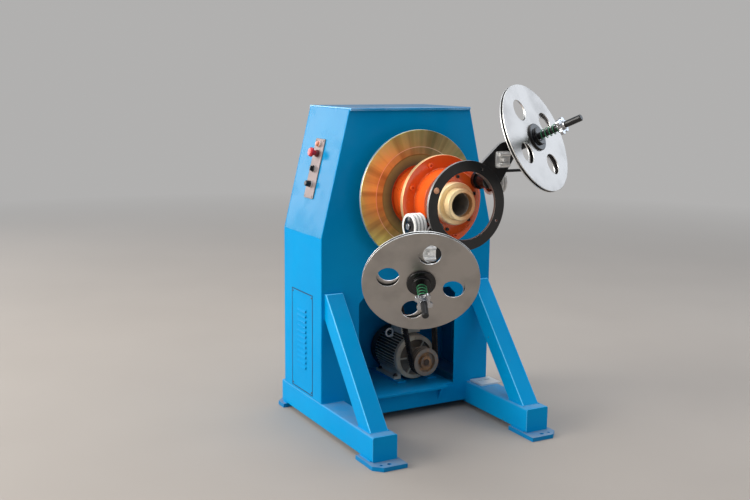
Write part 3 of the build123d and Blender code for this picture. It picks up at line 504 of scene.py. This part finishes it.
# A dark blue for the strips round the doors: painted shadow in their gaps.
seal_shade = smooth_plastic("seal_shade", paint(0, 52, 92), paint(0, 40, 76), roughness=0.5)
belt_rubber = dusty_rubber("belt_rubber")


# Meshes
def added(name, mesh):
    piece = bpy.data.objects.new(name, mesh)
    bpy.context.scene.collection.objects.link(piece)
    return piece


def made_plain(piece):
    """The piece with its modifiers turned into plain mesh."""
    bpy.context.view_layer.update()
    graph = bpy.context.evaluated_depsgraph_get()
    mesh = bpy.data.meshes.new_from_object(piece.evaluated_get(graph))
    name = piece.name
    bpy.data.objects.remove(piece)
    mesh.name = name
    return added(name, mesh)


def smoothed(piece, crease):
    piece.data.shade_smooth()
    piece.data.set_sharp_from_angle(angle=radians(crease))


def placed(piece, body):
    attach(piece, body)
    return piece


def finished(node, finishes, edge=0.001, crease=32.0, sorted_by=None, highlight_finish=None):
    """A frame node's own form, triangles merged and edges eased, in one or several finishes."""
    mesh = frame["nodes"][node].data.copy()
    mesh.materials.clear()
    for finish in finishes:
        mesh.materials.append(finish)
    work = bmesh.new()
    work.from_mesh(mesh)
    bmesh.ops.remove_doubles(work, verts=work.verts, dist=0.00001)
    bmesh.ops.dissolve_limit(work, angle_limit=radians(1.0), verts=work.verts, edges=work.edges)
    for face in work.faces:
        face.material_index = sorted_by(face.calc_center_median(), face.normal) if sorted_by else 0
    work.to_mesh(mesh)
    work.free()
    piece = added(f"{node}_finished", mesh)
    if edge:
        easing = piece.modifiers.new("eased edges", "BEVEL")
        easing.width = edge
        easing.segments = 2
        easing.limit_method = "ANGLE"
        easing.angle_limit = radians(crease)
        # The eased edges may take a finish of their own, used as a painted highlight.
        if highlight_finish:
            mesh.materials.append(highlight_finish)
            easing.material = len(mesh.materials) - 1
        weighting = piece.modifiers.new("face shading", "WEIGHTED_NORMAL")
        weighting.keep_sharp = True
    smoothed(piece, crease + 25 if edge else crease)
    piece = made_plain(piece)
    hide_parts(node)
    return placed(piece, body_of[node])


def worked_mesh(work, name):
    """The mesh that was worked on, under its name."""
    mesh = bpy.data.meshes.new(name)
    work.to_mesh(mesh)
    work.free()
    return mesh


def joined(name, parts):
    """One mesh of several, each put in its place."""
    work = bmesh.new()
    for mesh, place in parts:
        count = len(work.verts)
        work.from_mesh(mesh)
        work.verts.ensure_lookup_table()
        bmesh.ops.transform(work, matrix=place, verts=work.verts[count:])
    return worked_mesh(work, name)


def turned_mesh(name, outline, segments):
    """Closed mesh turned about local Z from (radius, height) corners, axis to axis or as a ring."""
    work = bmesh.new()
    turns = [2 * pi * n / segments for n in range(segments)]
    rows = []
    for radius, height in outline:
        if radius == 0:
            rows.append([work.verts.new((0, 0, height))])
        else:
            rows.append([work.verts.new((radius * cos(t), radius * sin(t), height)) for t in turns])
    if outline[0][0]:
        rows.append(rows[0])
    for low, high in zip(rows, rows[1:]):
        for n in range(segments):
            m = (n + 1) % segments
            if len(low) == 1:
                work.faces.new((low[0], high[m], high[n]))
            elif len(high) == 1:
                work.faces.new((low[n], low[m], high[0]))
            else:
                work.faces.new((low[n], low[m], high[m], high[n]))
    bmesh.ops.recalc_face_normals(work, faces=work.faces)
    return worked_mesh(work, name)


# Geometry Nodes
class Pattern(Wiring):
    """A Geometry Nodes tree whose sizes are named inputs, evaluated once into a plain mesh."""

    def __init__(self, name):
        super().__init__(bpy.data.node_groups.new(name, "GeometryNodeTree"))
        self.name = name
        self.sizes = {}
        self.entry = self.tree.nodes.new("NodeGroupInput")
        self.opening("Geometry", "OUTPUT", "Geometry")

    def opening(self, name, direction, kind):
        """Adds a socket to the tree's edge and gives its identifier."""
        kind = f"NodeSocket{kind}"
        made = self.tree.interface.new_socket(name=name, in_out=direction, socket_type=kind)
        return made.identifier

    def size(self, name, kind="Float"):
        """A named input of the tree."""
        key = self.sizes[name] = self.opening(name, "INPUT", kind)
        return Term(self, next(out for out in self.entry.outputs if out.identifier == key))

    def form(self, name):
        """The geometry of an object that is a named input."""
        inputs = {"Object": self.size(name, "Object")}
        return self.node("GeometryNodeObjectInfo", {}, inputs, "Geometry")

    def vector(self, **parts):
        return self.node("ShaderNodeCombineXYZ", {}, parts)

    def close(self, geometry):
        """Places the geometry, makes it real and gives it its finish."""
        place, turn = self.size("Place", "Vector"), self.size("Turn", "Rotation")
        inputs = {"Geometry": geometry, "Translation": place, "Rotation": turn}
        moved = self.node("GeometryNodeTransform", {}, inputs)
        real = self.node("GeometryNodeRealizeInstances", {}, {0: moved})
        inputs = {0: real, "Material": self.size("Finish", "Material")}
        coated = self.node("GeometryNodeSetMaterial", {}, inputs)
        self.end("NodeGroupOutput", {0: coated})

    def made(self, name, sizes, crease=40.0):
        piece = added(name, bpy.data.meshes.new(name))
        modifier = piece.modifiers.new(self.name, "NODES")
        modifier.node_group = self.tree
        for key, value in sizes.items():
            modifier[self.sizes[key]] = value
        piece = made_plain(piece)
        smoothed(piece, crease)
        return piece


def ring_pattern():
    """Copies of a fastener round a circle."""
    pattern = Pattern("fastener_ring")
    inputs = {"Vertices": pattern.size("Count", "Int"), "Radius": pattern.size("Circle Radius")}
    circle = pattern.node("GeometryNodeMeshCircle", {}, inputs)
    start = pattern.vector(Z=pattern.size("Start Angle"))
    turned = pattern.node("GeometryNodeTransform", {}, {"Geometry": circle, "Rotation": start})
    inputs = {"Points": turned, "Instance": pattern.form("Fastener")}
    pattern.close(pattern.node("GeometryNodeInstanceOnPoints", {}, inputs))
    return pattern


def grid_pattern():
    """Copies of a fastener at the crossings of a grid."""
    pattern = Pattern("fastener_grid")
    inputs = {
        "Size X": pattern.size("Width"),
        "Size Y": pattern.size("Height"),
        "Vertices X": pattern.size("Columns", "Int"),
        "Vertices Y": pattern.size("Rows", "Int"),
    }
    grid = pattern.node("GeometryNodeMeshGrid", {}, inputs)
    inputs = {"Points": grid, "Instance": pattern.form("Fastener")}
    pattern.close(pattern.node("GeometryNodeInstanceOnPoints", {}, inputs))
    return pattern


def coil_pattern():
    """A helical spring of round wire along local Z."""
    pattern = Pattern("coil_spring")
    radius = pattern.size("Radius")
    inputs = {
        "Resolution": 28,
        "Rotations": pattern.size("Turns"),
        "Start Radius": radius,
        "End Radius": radius,
        "Height": pattern.size("Length"),
    }
    helix = pattern.node("GeometryNodeCurveSpiral", {}, inputs)
    inputs = {"Resolution": 10, "Radius": pattern.size("Wire Radius")}
    section = pattern.node("GeometryNodeCurvePrimitiveCircle", {}, inputs)
    inputs = {0: helix, 1: section, "Fill Caps": True}
    pattern.close(pattern.node("GeometryNodeCurveToMesh", {}, inputs))
    return pattern


def belt_pattern():
    """A cogged belt along a flat closed path, its cogs on the inside."""
    pattern = Pattern("cogged_belt")
    path = pattern.form("Path")
    width = pattern.size("Width")
    body_height = pattern.size("Body Height")
    cog_height = pattern.size("Cog Height")
    inputs = {"Width": body_height, "Height": width}
    section = pattern.node("GeometryNodeCurvePrimitiveQuadrilateral", {}, inputs)
    band = pattern.node("GeometryNodeCurveToMesh", {}, {0: path, 1: section})
    inputs = {0: path, "Count": pattern.size("Cogs", "Int")}
    points = pattern.node("GeometryNodeCurveToPoints", {}, inputs)
    block = pattern.vector(X=cog_height, Y=width, Z=pattern.size("Cog Length"))
    cog = pattern.node("GeometryNodeMeshCube", {}, {"Size": block})
    drop = pattern.vector(X=(body_height + cog_height) * 0.5)
    cog = pattern.node("GeometryNodeTransform", {}, {"Geometry": cog, "Translation": drop})
    inputs = {"Points": points, "Instance": cog, "Rotation": points.beside("Rotation")}
    cogs = pattern.node("GeometryNodeInstanceOnPoints", {}, inputs)
    whole = pattern.node("GeometryNodeJoinGeometry", {}, {0: band})
    pattern.fill(whole.socket.node, {0: cogs})
    pattern.close(whole)
    return pattern


def weld_pattern():
    """A rippled bead of weld along a path."""
    pattern = Pattern("weld_bead")
    inputs = {0: pattern.form("Path"), "Length": pattern.size("Ripple Pitch")}
    path = pattern.node("GeometryNodeResampleCurve", {"mode": "LENGTH"}, inputs)
    odd = pattern.node("GeometryNodeInputIndex", {}, {}).maths("MODULO", 2.0)
    path = pattern.node("GeometryNodeSetCurveRadius", {}, {0: path, "Radius": odd * 0.3 + 0.8})
    inputs = {"Resolution": 8, "Radius": pattern.size("Bead Radius")}
    section = pattern.node("GeometryNodeCurvePrimitiveCircle", {}, inputs)
    ripple = pattern.node("GeometryNodeInputRadius", {}, {})
    inputs = {0: path, 1: section, "Scale": ripple, "Fill Caps": True}
    pattern.close(pattern.node("GeometryNodeCurveToMesh", {}, inputs))
    return pattern


fastener_ring = ring_pattern()
fastener_grid = grid_pattern()
coil_spring = coil_pattern()
cogged_belt = belt_pattern()
weld_bead = weld_pattern()


# The frame's own nodes, eased and finished
plain_nodes = {
    "front_panel": (cabinet_blue, 0.0015),
    "back_panel": (cabinet_blue, 0.0015),
    "roof_panel": (roof_blue, 0.0010),
    "vent_doors": (cabinet_blue, 0.0004),
    "cross_beams": (frame_blue, 0.0),
    "motor_platform": (frame_blue, 0.0015),
    "skids": (skid_blue, 0.0),
    "skid_end_caps": (frame_blue, 0.0008),
    "braces": (frame_blue, 0.0045),
    "foot_plates": (foot_blue, 0.0018),
    "shim_plate": (lug_steel, 0.0008),
    "control_plate": (plate_steel, 0.0004),
    "front_bearing_housing": (hub_orange, 0.0020),
    "rear_bearing_housing": (hub_orange, 0.0020),
    "motor_stator": (motor_paint, 0.0006),
    "motor_eyebolt": (lug_steel, 0.0),
    "motor_fan_cowl": (cowl_paint, 0.0015),
    "motor_terminal_box": (motor_paint, 0.0015),
    "motor_slide_rails": (frame_blue, 0.0010),
    "motor_shaft": (shaft_rust, 0.0010),
    "motor_pulley": (pulley_rust, 0.0006),
    "main_pulley": (oiled_steel, 0.0006),
    "arm_bosses": (boss_black, 0.0040),
    "tape_clamps": (clamp_steel, 0.0008),
    "spool_spindles": (switch_black, 0.0005),
    "roller_pins": (chrome, 0.0010),
    "lobed_nuts": (chrome, 0.0020),
    "upper_pressure_washer": (boss_black, 0.0010),
    "lower_pressure_washer": (boss_black, 0.0010),
}
# Nodes whose eased edges take the paler blue as a painted highlight.
highlight_edged = ("braces", "roof_panel", "skid_end_caps")
for node, (finish, edge) in plain_nodes.items():
    finished(node, [finish], edge, highlight_finish=edge_blue if node in highlight_edged else None)


# Nodes in two finishes, told apart by where a face is and how it lies
def off_axis(point, centre):
    """Distance from the bore's or the motor's axis."""
    return hypot(point.x - centre.x, point.z - centre.z)


def slope_finish(point, normal):
    """The slopes catch more sky than the upright part below them, and take a darker copy of the blue as painted
    shade.
    """
    return 1 if normal.z > 0.05 else 0


def disc_finish(point, normal):
    """The disc's rim is bare."""
    return 1 if abs(normal.y) < 0.5 and off_axis(point, head_centre) > disc_edge else 0


def nose_finish(point, normal):
    """The nose's tube is browner than its collar."""
    return 1 if off_axis(point, head_centre) < nose_tube_edge else 0


def shaft_finish(point, normal):
    """The bore's wall is duller than the shaft's outside."""
    shaft_radius = (shaft_high[0] - shaft_low[0]) / 2
    return 1 if off_axis(point, head_centre) < bore_wall_share * shaft_radius else 0


def hub_finish(point, normal):
    """The rim's turned edge is bare, the rest is painted."""
    return 1 if off_axis(point, head_centre) > hub_rim_edge and abs(normal.y) < 0.3 else 0


def shield_finish(point, normal):
    """The shield's rim is paler than its recess and its boss."""
    on_face = abs(point.y - front_y - shield_rim_depth) < 0.0005
    return 0 if on_face or off_axis(point, motor_centre) > shield_rim_edge else 1


def plate_finish(point, normal):
    """The black plates' faces are painted and their cut edges bare."""
    height = abs(point.z - head_centre.z)
    on_rod = abs(height - guide_rod_height) < guide_rod_reach and abs(point.x) > arm_side
    in_plate = front_y - plates_to < point.y < front_y - plates_from
    return 1 if abs(normal.y) < 0.3 and in_plate and not on_rod else 0


def flange_finish(spool_axis):
    """A flange's faces are ground, and its rim and holes are bare."""
    return lambda point, normal: int(abs(normal.dot(spool_axis)) < 0.4)


for side in ("left", "right"):
    finished(f"{side}_side_panel", [cabinet_blue, slope_blue], 0.0012, 8.0, slope_finish)
finished("brass_disc", [disc_brass, bare_edge], 0.0010, sorted_by=disc_finish)
finished("brass_nose", [nose_brass, tube_brass], 0.0012, sorted_by=nose_finish)
finished("hollow_shaft", [shaft_steel, bore_steel], 0.0010, sorted_by=shaft_finish)
finished("tape_ring", [ring_black, cut_edge], 0.0010, sorted_by=plate_finish)
finished("spool_arms", [ring_black, cut_edge], 0.0015, sorted_by=plate_finish)
for half in ("upper", "lower"):
    sorting = flange_finish(Vector(joint[f"{half}_spool_spin"]["axis"]).normalized())
    for side in ("inner", "outer"):
        finished(f"{half}_{side}_flange", [flange_steel, bare_edge], 0.0006, sorted_by=sorting)
finished("taping_hub", [hub_orange, rim_gold], 0.0022, sorted_by=hub_finish)
finished("motor_end_shield", [shield_paint, shield_grime], 0.0015, sorted_by=shield_finish)

# Controls, each in its own finish by where it stands on the plate
plate_middle = middle_of("control_plate")
roof_edge = Vector((roof_low[0], 0, roof_high[2]))
fold_edge = Vector((-half_base, 0, roof_high[2] - slope_drop))
down_slope = (fold_edge - roof_edge).normalized()
out_of_slope = Vector((down_slope.z, 0, -down_slope.x))


def switch_finish(point, normal):
    """A lamp lens at the top of the plate and black switches below it, each on a bright collar."""
    if (point - plate_middle).dot(out_of_slope) < collar_height:
        return 1
    return 0 if (point - plate_middle).dot(down_slope) < lamp_place else 2


def stop_finish(point, normal):
    """A red mushroom head over a darker collar."""
    return 0 if (point - plate_middle).dot(out_of_slope) > stop_collar_height else 1


finished("control_switches", [lamp_lens, lug_steel, switch_black], 0.0006, sorted_by=switch_finish)
finished("emergency_stop", [stop_red, stop_shade], 0.0006, sorted_by=stop_finish)


# Guide rollers, their groove floors darker and a black cover on each end
def groove_finish(centre):
    """Dark at the groove floors, pale on the lands and the ends."""
    low, high = groove_floor
    return lambda point, normal: int(low < hypot(point.y - centre.y, point.z - centre.z) < high)


cover = turned_mesh("roller_cover", cover_outline, cover_segments)
for half in ("upper", "lower"):
    node = f"{half}_guide_roller"
    middle = middle_of(node)
    finished(node, [roller_nylon, roller_worn], 0.0008, sorted_by=groove_finish(middle))
    ends = []
    for corner, turn in zip(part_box(node), (-90, 90)):
        place = Matrix.Translation((corner[0], middle.y, middle.z))
        ends.append((cover, place @ Matrix.Rotation(radians(turn), 4, "Y")))
    covers = joined(f"{half}_roller_covers", ends)
    covers.materials.append(boss_black)
    piece = added(f"{half}_roller_covers", covers)
    smoothed(piece, 40.0)
    placed(piece, f"{half}_roller")

# Tension springs, a green coil on each spindle
for half in ("upper", "lower"):
    spool = joint[f"{half}_spool_spin"]
    axis = Vector(spool["axis"]).normalized()
    sizes = {
        "Radius": spring_radius - spring_wire,
        "Turns": spring_turns,
        "Length": spring_end - spring_start - 2 * spring_wire,
        "Wire Radius": spring_wire,
        "Place": tuple(Vector(spool["pos_m"]) + axis * (spring_start + spring_wire)),
        "Turn": tuple(axis.to_track_quat("Z", "Y").to_euler()),
        "Finish": spring_green,
    }
    coil = coil_spring.made(f"{half}_tension_coil", sizes)
    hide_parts("tension_springs")
    placed(coil, "taping_head")


# Drive belts, three cogged loops
def belt_outline(reach_main, reach_motor, steps):
    """Outline round both pulleys, in the plane across the machine: two arcs joined by tangents."""
    start = Vector((head_centre.x, head_centre.z))
    end = Vector((motor_centre.x, motor_centre.z))
    ahead = (end - start).normalized()
    lean = acos((reach_main - reach_motor) / (end - start).length)
    base = ahead.angle_signed(Vector((1, 0)))
    points = []
    for centre, reach, first, last in (
        (start, reach_main, lean, 2 * pi - lean),
        (end, reach_motor, -lean, lean),
    ):
        for n in range(steps + 1):
            angle = base + first + (last - first) * n / steps
            points.append((centre.x + reach * cos(angle), centre.y + reach * sin(angle), 0))
    return points


def path_along(name, runs, flat_loop=False):
    """A curve of straight runs, each a list of points. A flat loop lies in its local XY plane."""
    curve = bpy.data.curves.new(name, "CURVE")
    curve.dimensions = "2D" if flat_loop else "3D"
    if flat_loop:
        curve.fill_mode = "NONE"
    for points in runs:
        spline = curve.splines.new("POLY")
        spline.points.add(len(points) - 1)
        for point, place in zip(spline.points, points):
            point.co = (*place, 1)
        spline.use_cyclic_u = flat_loop
    return added(name, curve)


facing_front = (radians(90), 0.0, 0.0)
facing_back = (radians(-90), 0.0, 0.0)
facing_left = (0.0, radians(-90), 0.0)
facing_right = (0.0, radians(90), 0.0)
facing_up = (0.0, 0.0, 0.0)

half_body = belt_body_height / 2
outline = belt_outline(belt_outer_main - half_body, belt_outer_motor - half_body, belt_arc_steps)
belt_path = path_along("belt_path", [outline], flat_loop=True)
for count in (-1, 0, 1):
    sizes = {
        "Path": belt_path,
        "Width": belt_width,
        "Body Height": belt_body_height,
        "Cog Height": belt_cog_height,
        "Cog Length": belt_cog_length,
        "Cogs": belt_cogs,
        "Place": (0.0, middle_of("drive_belts").y + count * belt_spacing, 0.0),
        "Turn": facing_front,
        "Finish": belt_rubber,
    }
    belt = cogged_belt.made(f"drive_belt_{count + 2}", sizes, 30.0)
    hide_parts("drive_belts")
    placed(belt, "root")
bpy.data.objects.remove(belt_path)

# Weld beads, on the braces' feet and seats, the front panel's foot and the foot plates
inset = weld_radius * 0.3
wall = front_y - inset
skid_middle = (skid_high[0] + beam_high[0]) / 2
brace_front = front_y - brace_foot_reach
brace_rear = brace_front + brace_foot_length
runs = []
for side in (-1, 1):
    inner = side * (skid_middle - brace_half_width - inset)
    outer = side * (skid_middle + brace_half_width + inset)
    beam_end = side * beam_high[0]
    corner = side * (half_base - corner_inset)
    foot = (inner, brace_front), (inner, brace_rear), (outer, brace_rear), (outer, brace_front)
    seat = (inner, brace_top), (inner, seat_bottom), (outer, seat_bottom), (outer, brace_top)
    runs.append([(x, y, skid_top) for x, y in foot])
    runs.append([(x, wall, z) for x, z in seat])
    runs.append([(beam_end, wall, skid_top), (corner, wall, skid_top)])
    runs.append([(beam_end, wall, skid_top), (beam_end, wall, beam_low[2] + beam_weld_end)])
    for skid_end, (start, stop) in ((skid_low[1], front_foot_weld), (skid_high[1], rear_foot_weld)):
        for x in (beam_end, side * half_base):
            runs.append([(x, skid_end + start, foot_top), (x, skid_end + stop, foot_top)])
weld_path = path_along("weld_path", runs)
sizes = {
    "Path": weld_path,
    "Ripple Pitch": weld_pitch,
    "Bead Radius": weld_radius,
    "Place": (0.0, 0.0, 0.0),
    "Turn": facing_up,
    "Finish": frame_blue,
}
placed(weld_bead.made("frame_welds", sizes, 60.0), "root")
bpy.data.objects.remove(weld_path)


# Fasteners
def cap_screw(radius, height, socket):
    """Head of a socket cap screw: a rounded rim round a sunk key socket."""
    soft = radius * 0.12
    sunk = height - socket
    outline = [(0, sunk), (radius * 0.48, sunk), (radius * 0.52, height - soft * 0.3)]
    outline += [(radius * 0.56, height), (radius - soft, height), (radius, height - soft)]
    outline += [(radius, 0), (0, 0)]
    return added("cap_screw", turned_mesh("cap_screw", outline, screw_segments))


def hex_bolt(radius, height):
    """Hexagon head on a round washer."""
    head_outline = [(0, height), (radius * 0.84, height), (radius, height * 0.86)]
    head_outline += [(radius, height * 0.22), (0, height * 0.22)]
    reach, thickness = radius * 1.4, height * 0.24
    washer_outline = [(0, thickness), (radius * 1.35, thickness), (reach, height * 0.18)]
    washer_outline += [(reach, 0), (0, 0)]
    head = turned_mesh("head", head_outline, 6)
    washer = turned_mesh("washer", washer_outline, screw_segments)
    here = Matrix.Identity(4)
    return added("hex_bolt", joined("hex_bolt", [(head, here), (washer, here)]))


def domed_screw(radius, height):
    """Low domed head, its recess too small to show."""
    arc = [(radius * sin(t * pi / 12), height * cos(t * pi / 12)) for t in range(7)]
    return added("domed_screw", turned_mesh("domed_screw", [*arc, (0, 0)], screw_segments))


def fasteners(name, head, pattern, sizes, place, turn, finish, body="root"):
    """One mesh of like fasteners on one body. The head is a template and goes."""
    sizes = {**sizes, "Fastener": head, "Place": tuple(place), "Turn": turn, "Finish": finish}
    piece = pattern.made(name, sizes)
    bpy.data.objects.remove(head)
    return placed(piece, body)


def in_ring(count, radius, start):
    """A ring's sizes, its first fastener at a start angle in degrees."""
    return {"Count": count, "Circle Radius": radius, "Start Angle": radians(start)}


def in_grid(width, height, columns=2, rows=2):
    """A grid's sizes."""
    return {"Width": width, "Height": height, "Columns": columns, "Rows": rows}


def door_shadow_strip(name, side):
    """A dark strip round a vent door, a painted shadow in its gap, on the left side (-1) or the right (1)."""
    work = bmesh.new()
    loops = []
    for grow, lift in ((1, 0), (1, 1), (-1, 1), (-1, 0)):
        x = side * (half_base + lift * door_shadow_lift)
        low_y, high_y = door_low[1] - grow * door_shadow_reach, door_high[1] + grow * door_shadow_reach
        low_z, high_z = door_low[2] - grow * door_shadow_reach, door_high[2] + grow * door_shadow_reach
        corners = ((low_y, low_z), (high_y, low_z), (high_y, high_z), (low_y, high_z))
        loops.append([work.verts.new((x, y, z)) for y, z in corners])
    for first, second in zip(loops, loops[1:] + loops[:1]):
        for n in range(4):
            m = (n + 1) % 4
            work.faces.new((first[n], first[m], second[m], second[n]))
    bmesh.ops.recalc_face_normals(work, faces=work.faces)
    seal = worked_mesh(work, name)
    seal.materials.append(seal_shade)
    placed(added(name, seal), "root")


def on_bore(forward, off=0.0, angle=0.0):
    """A point forward of the cabinet's front, on the bore's axis or off it at an angle."""
    return head_centre + Vector((off * cos(angle), -forward, off * sin(angle)))


fasteners(
    "hub_rim_screws",
    cap_screw(radius=0.0100, height=0.010, socket=0.005),
    fastener_ring,
    in_ring(8, rim_screw_circle, 23),
    on_bore(hub_rim_face),
    facing_front,
    hub_orange,
    "taping_head",
)
fasteners(
    "hub_drum_screws",
    cap_screw(radius=0.0070, height=0.007, socket=0.004),
    fastener_ring,
    in_ring(6, drum_screw_circle, 18),
    on_bore(drum_face),
    facing_front,
    oiled_steel,
    "taping_head",
)
fasteners(
    "ring_screw",
    domed_screw(radius=0.0125, height=0.005),
    fastener_grid,
    in_grid(0.0, 0.0, 1, 1),
    on_bore(ring_face, ring_screw_circle, ring_screw_angle),
    facing_front,
    screw_copper,
    "taping_head",
)
fasteners(
    "front_housing_bolts",
    hex_bolt(radius=0.0085, height=0.009),
    fastener_ring,
    in_ring(8, front_bolt_circle, 22.5),
    on_bore(front_housing_face),
    facing_front,
    oiled_steel,
)
fasteners(
    "rear_housing_bolts",
    hex_bolt(radius=0.0085, height=0.009),
    fastener_ring,
    in_ring(8, rear_bolt_circle, 22.5),
    (head_centre.x, back_y, head_centre.z),
    facing_back,
    oiled_steel,
)
door_middle = middle_of("vent_doors")
door_screw_rows = door_high[2] - door_low[2] - door_screw_inset[0]
door_screw_columns = door_high[1] - door_low[1] - door_screw_inset[1]
for side, name, turn in ((-1, "left", facing_left), (1, "right", facing_right)):
    fasteners(
        f"{name}_door_screws",
        domed_screw(radius=0.0045, height=0.0022),
        fastener_grid,
        in_grid(door_screw_rows, door_screw_columns),
        (side * half_base, door_middle.y, door_middle.z),
        turn,
        oiled_steel,
    )
door_shadow_strip("left_door_seal", -1)
door_shadow_strip("right_door_seal", 1)
fasteners(
    "control_plate_screws",
    domed_screw(radius=0.0035, height=0.0018),
    fastener_grid,
    in_grid(*plate_screw_spacing),
    plate_middle + out_of_slope * plate_half_thickness,
    tuple(out_of_slope.to_track_quat("Z", "Y").to_euler()),
    oiled_steel,
)
fasteners(
    "shield_screws",
    hex_bolt(radius=0.0055, height=0.006),
    fastener_ring,
    in_ring(6, shield_screw_circle, 30),
    (motor_centre.x, front_y + shield_rim_depth, motor_centre.z),
    facing_front,
    shield_paint,
)
fasteners(
    "motor_foot_bolts",
    hex_bolt(radius=0.0080, height=0.010),
    fastener_grid,
    in_grid(*foot_bolt_spacing),
    (motor_centre.x, middle_of("motor_stator").y, rail_top + foot_lug_height),
    facing_up,
    oiled_steel,
)

# Floor, fading into a plain backdrop
backdrop_shade = (0.44, 0.435, 0.43, 1.0)
floor_reach = 40.0
floor_mesh = bpy.data.meshes.new("studio_floor")
corners = [(x * floor_reach, y * floor_reach, 0) for x, y in ((-1, -1), (1, -1), (1, 1), (-1, 1))]
floor_mesh.from_pydata(corners, [], [(0, 1, 2, 3)])
floor = added("studio_floor", floor_mesh)
studio_floor = Finish("studio_floor", {"Specular IOR Level": 0.2})
floor_tone = studio_floor.noise(1.3, 3.0)
floor_shade = studio_floor.blend(floor_tone, paint(160, 152, 144), paint(168, 160, 152))
studio_floor.set({"Base Color": floor_shade, "Roughness": 0.6 + 0.1 * floor_tone})
away = studio_floor.vector("LENGTH", studio_floor.place, output="Value")
seen = studio_floor.node("ShaderNodeLightPath", {}, {}, "Is Camera Ray")
haze = studio_floor.node("ShaderNodeEmission", {}, {"Color": backdrop_shade})
inputs = {0: away.above(2.2, 6.5) * seen, 1: studio_floor.surface, 2: haze}
faded = studio_floor.node("ShaderNodeMixShader", {}, inputs)
studio_floor.fill(studio_floor.output, {"Surface": faded})
floor.data.materials.append(studio_floor.material)

# Room light, brighter overhead, behind the plain backdrop that the camera sees
world = bpy.data.worlds.new("studio")
bpy.context.scene.world = world
world.use_nodes = True
room = Wiring(world.node_tree)
aim = room.node("ShaderNodeTexCoord", {}, {}, "Generated")
height = room.node("ShaderNodeSeparateXYZ", {}, {0: aim}, "Z")
stops = [(0.02, (0.11, 0.12, 0.14, 1.0)), (0.75, (0.54, 0.57, 0.62, 1.0))]
dome = room.node("ShaderNodeValToRGB", {"stops": stops}, {0: height})
glow = room.node("ShaderNodeBackground", {}, {"Color": dome})
backdrop = room.node("ShaderNodeBackground", {}, {"Color": backdrop_shade})
seen = room.node("ShaderNodeLightPath", {}, {}, "Is Camera Ray")
either = room.node("ShaderNodeMixShader", {}, {0: seen, 1: glow, 2: backdrop})
room.end("ShaderNodeOutputWorld", {"Surface": either})
bpy.context.scene.view_settings.view_transform = "Standard"
bpy.context.scene.view_settings.look = "None"


def soft_light(name, place, target, width, height, power, colour):
    """A rectangular light of some watts, turned to a target and hidden from the camera."""
    light = bpy.data.lights.new(name, "AREA")
    light.shape = "RECTANGLE"
    light.size = width
    light.size_y = height
    light.energy = power
    light.color = colour
    lamp = bpy.data.objects.new(name, light)
    lamp.location = place
    lamp.rotation_euler = (Vector(target) - Vector(place)).to_track_quat("-Z", "Y").to_euler()
    lamp.visible_camera = False
    bpy.context.scene.collection.objects.link(lamp)


soft_light("left_window", (-8.0, 2.1, 4.0), (0, 0, 0.8), 5.5, 4.0, 700.0, (1.0, 0.97, 0.92))
soft_light("left_front_window", (-8.0, -2.6, 3.4), (0, 0, 0.8), 4.5, 4.0, 140.0, (1.0, 0.94, 0.86))
soft_light("back_window", (-3.0, 6.0, 2.2), (0, 0, 0.9), 3.0, 2.2, 100.0, (1.0, 0.98, 0.96))
soft_light("roof_light", (0.4, 0.2, 5.5), (0, 0, 0.6), 5.0, 5.0, 160.0, (0.96, 0.98, 1.0))
soft_light("right_panel", (4.1, -0.2, 2.7), (0.26, -0.5, 1.27), 2.6, 2.6, 38.0, (0.80, 0.89, 1.0))
soft_light("front_panel_light", (2.2, -4.2, 1.0), (0, -0.4, 1.0), 1.6, 1.4, 14.0, (1.0, 0.95, 0.88))

# Camera
yaw, pitch, roll = radians(camera_yaw), radians(camera_pitch), radians(camera_roll)
view_axis = Vector((sin(yaw) * cos(pitch), cos(yaw) * cos(pitch), sin(pitch)))
level = Vector((cos(yaw), -sin(yaw), 0))
down = view_axis.cross(level)
right = level * cos(roll) + down * sin(roll)
down = down * cos(roll) - level * sin(roll)
camera_data = bpy.data.cameras.new("photo_camera")
camera_data.lens = camera_lens
camera_data.sensor_width = 36.0
camera_data.clip_end = 200.0
camera = bpy.data.objects.new("photo_camera", camera_data)
axes = Matrix((right, -down, -view_axis)).transposed().to_4x4()
camera.matrix_world = Matrix.Translation(camera_place) @ axes
bpy.context.scene.collection.objects.link(camera)
bpy.context.scene.camera = camera
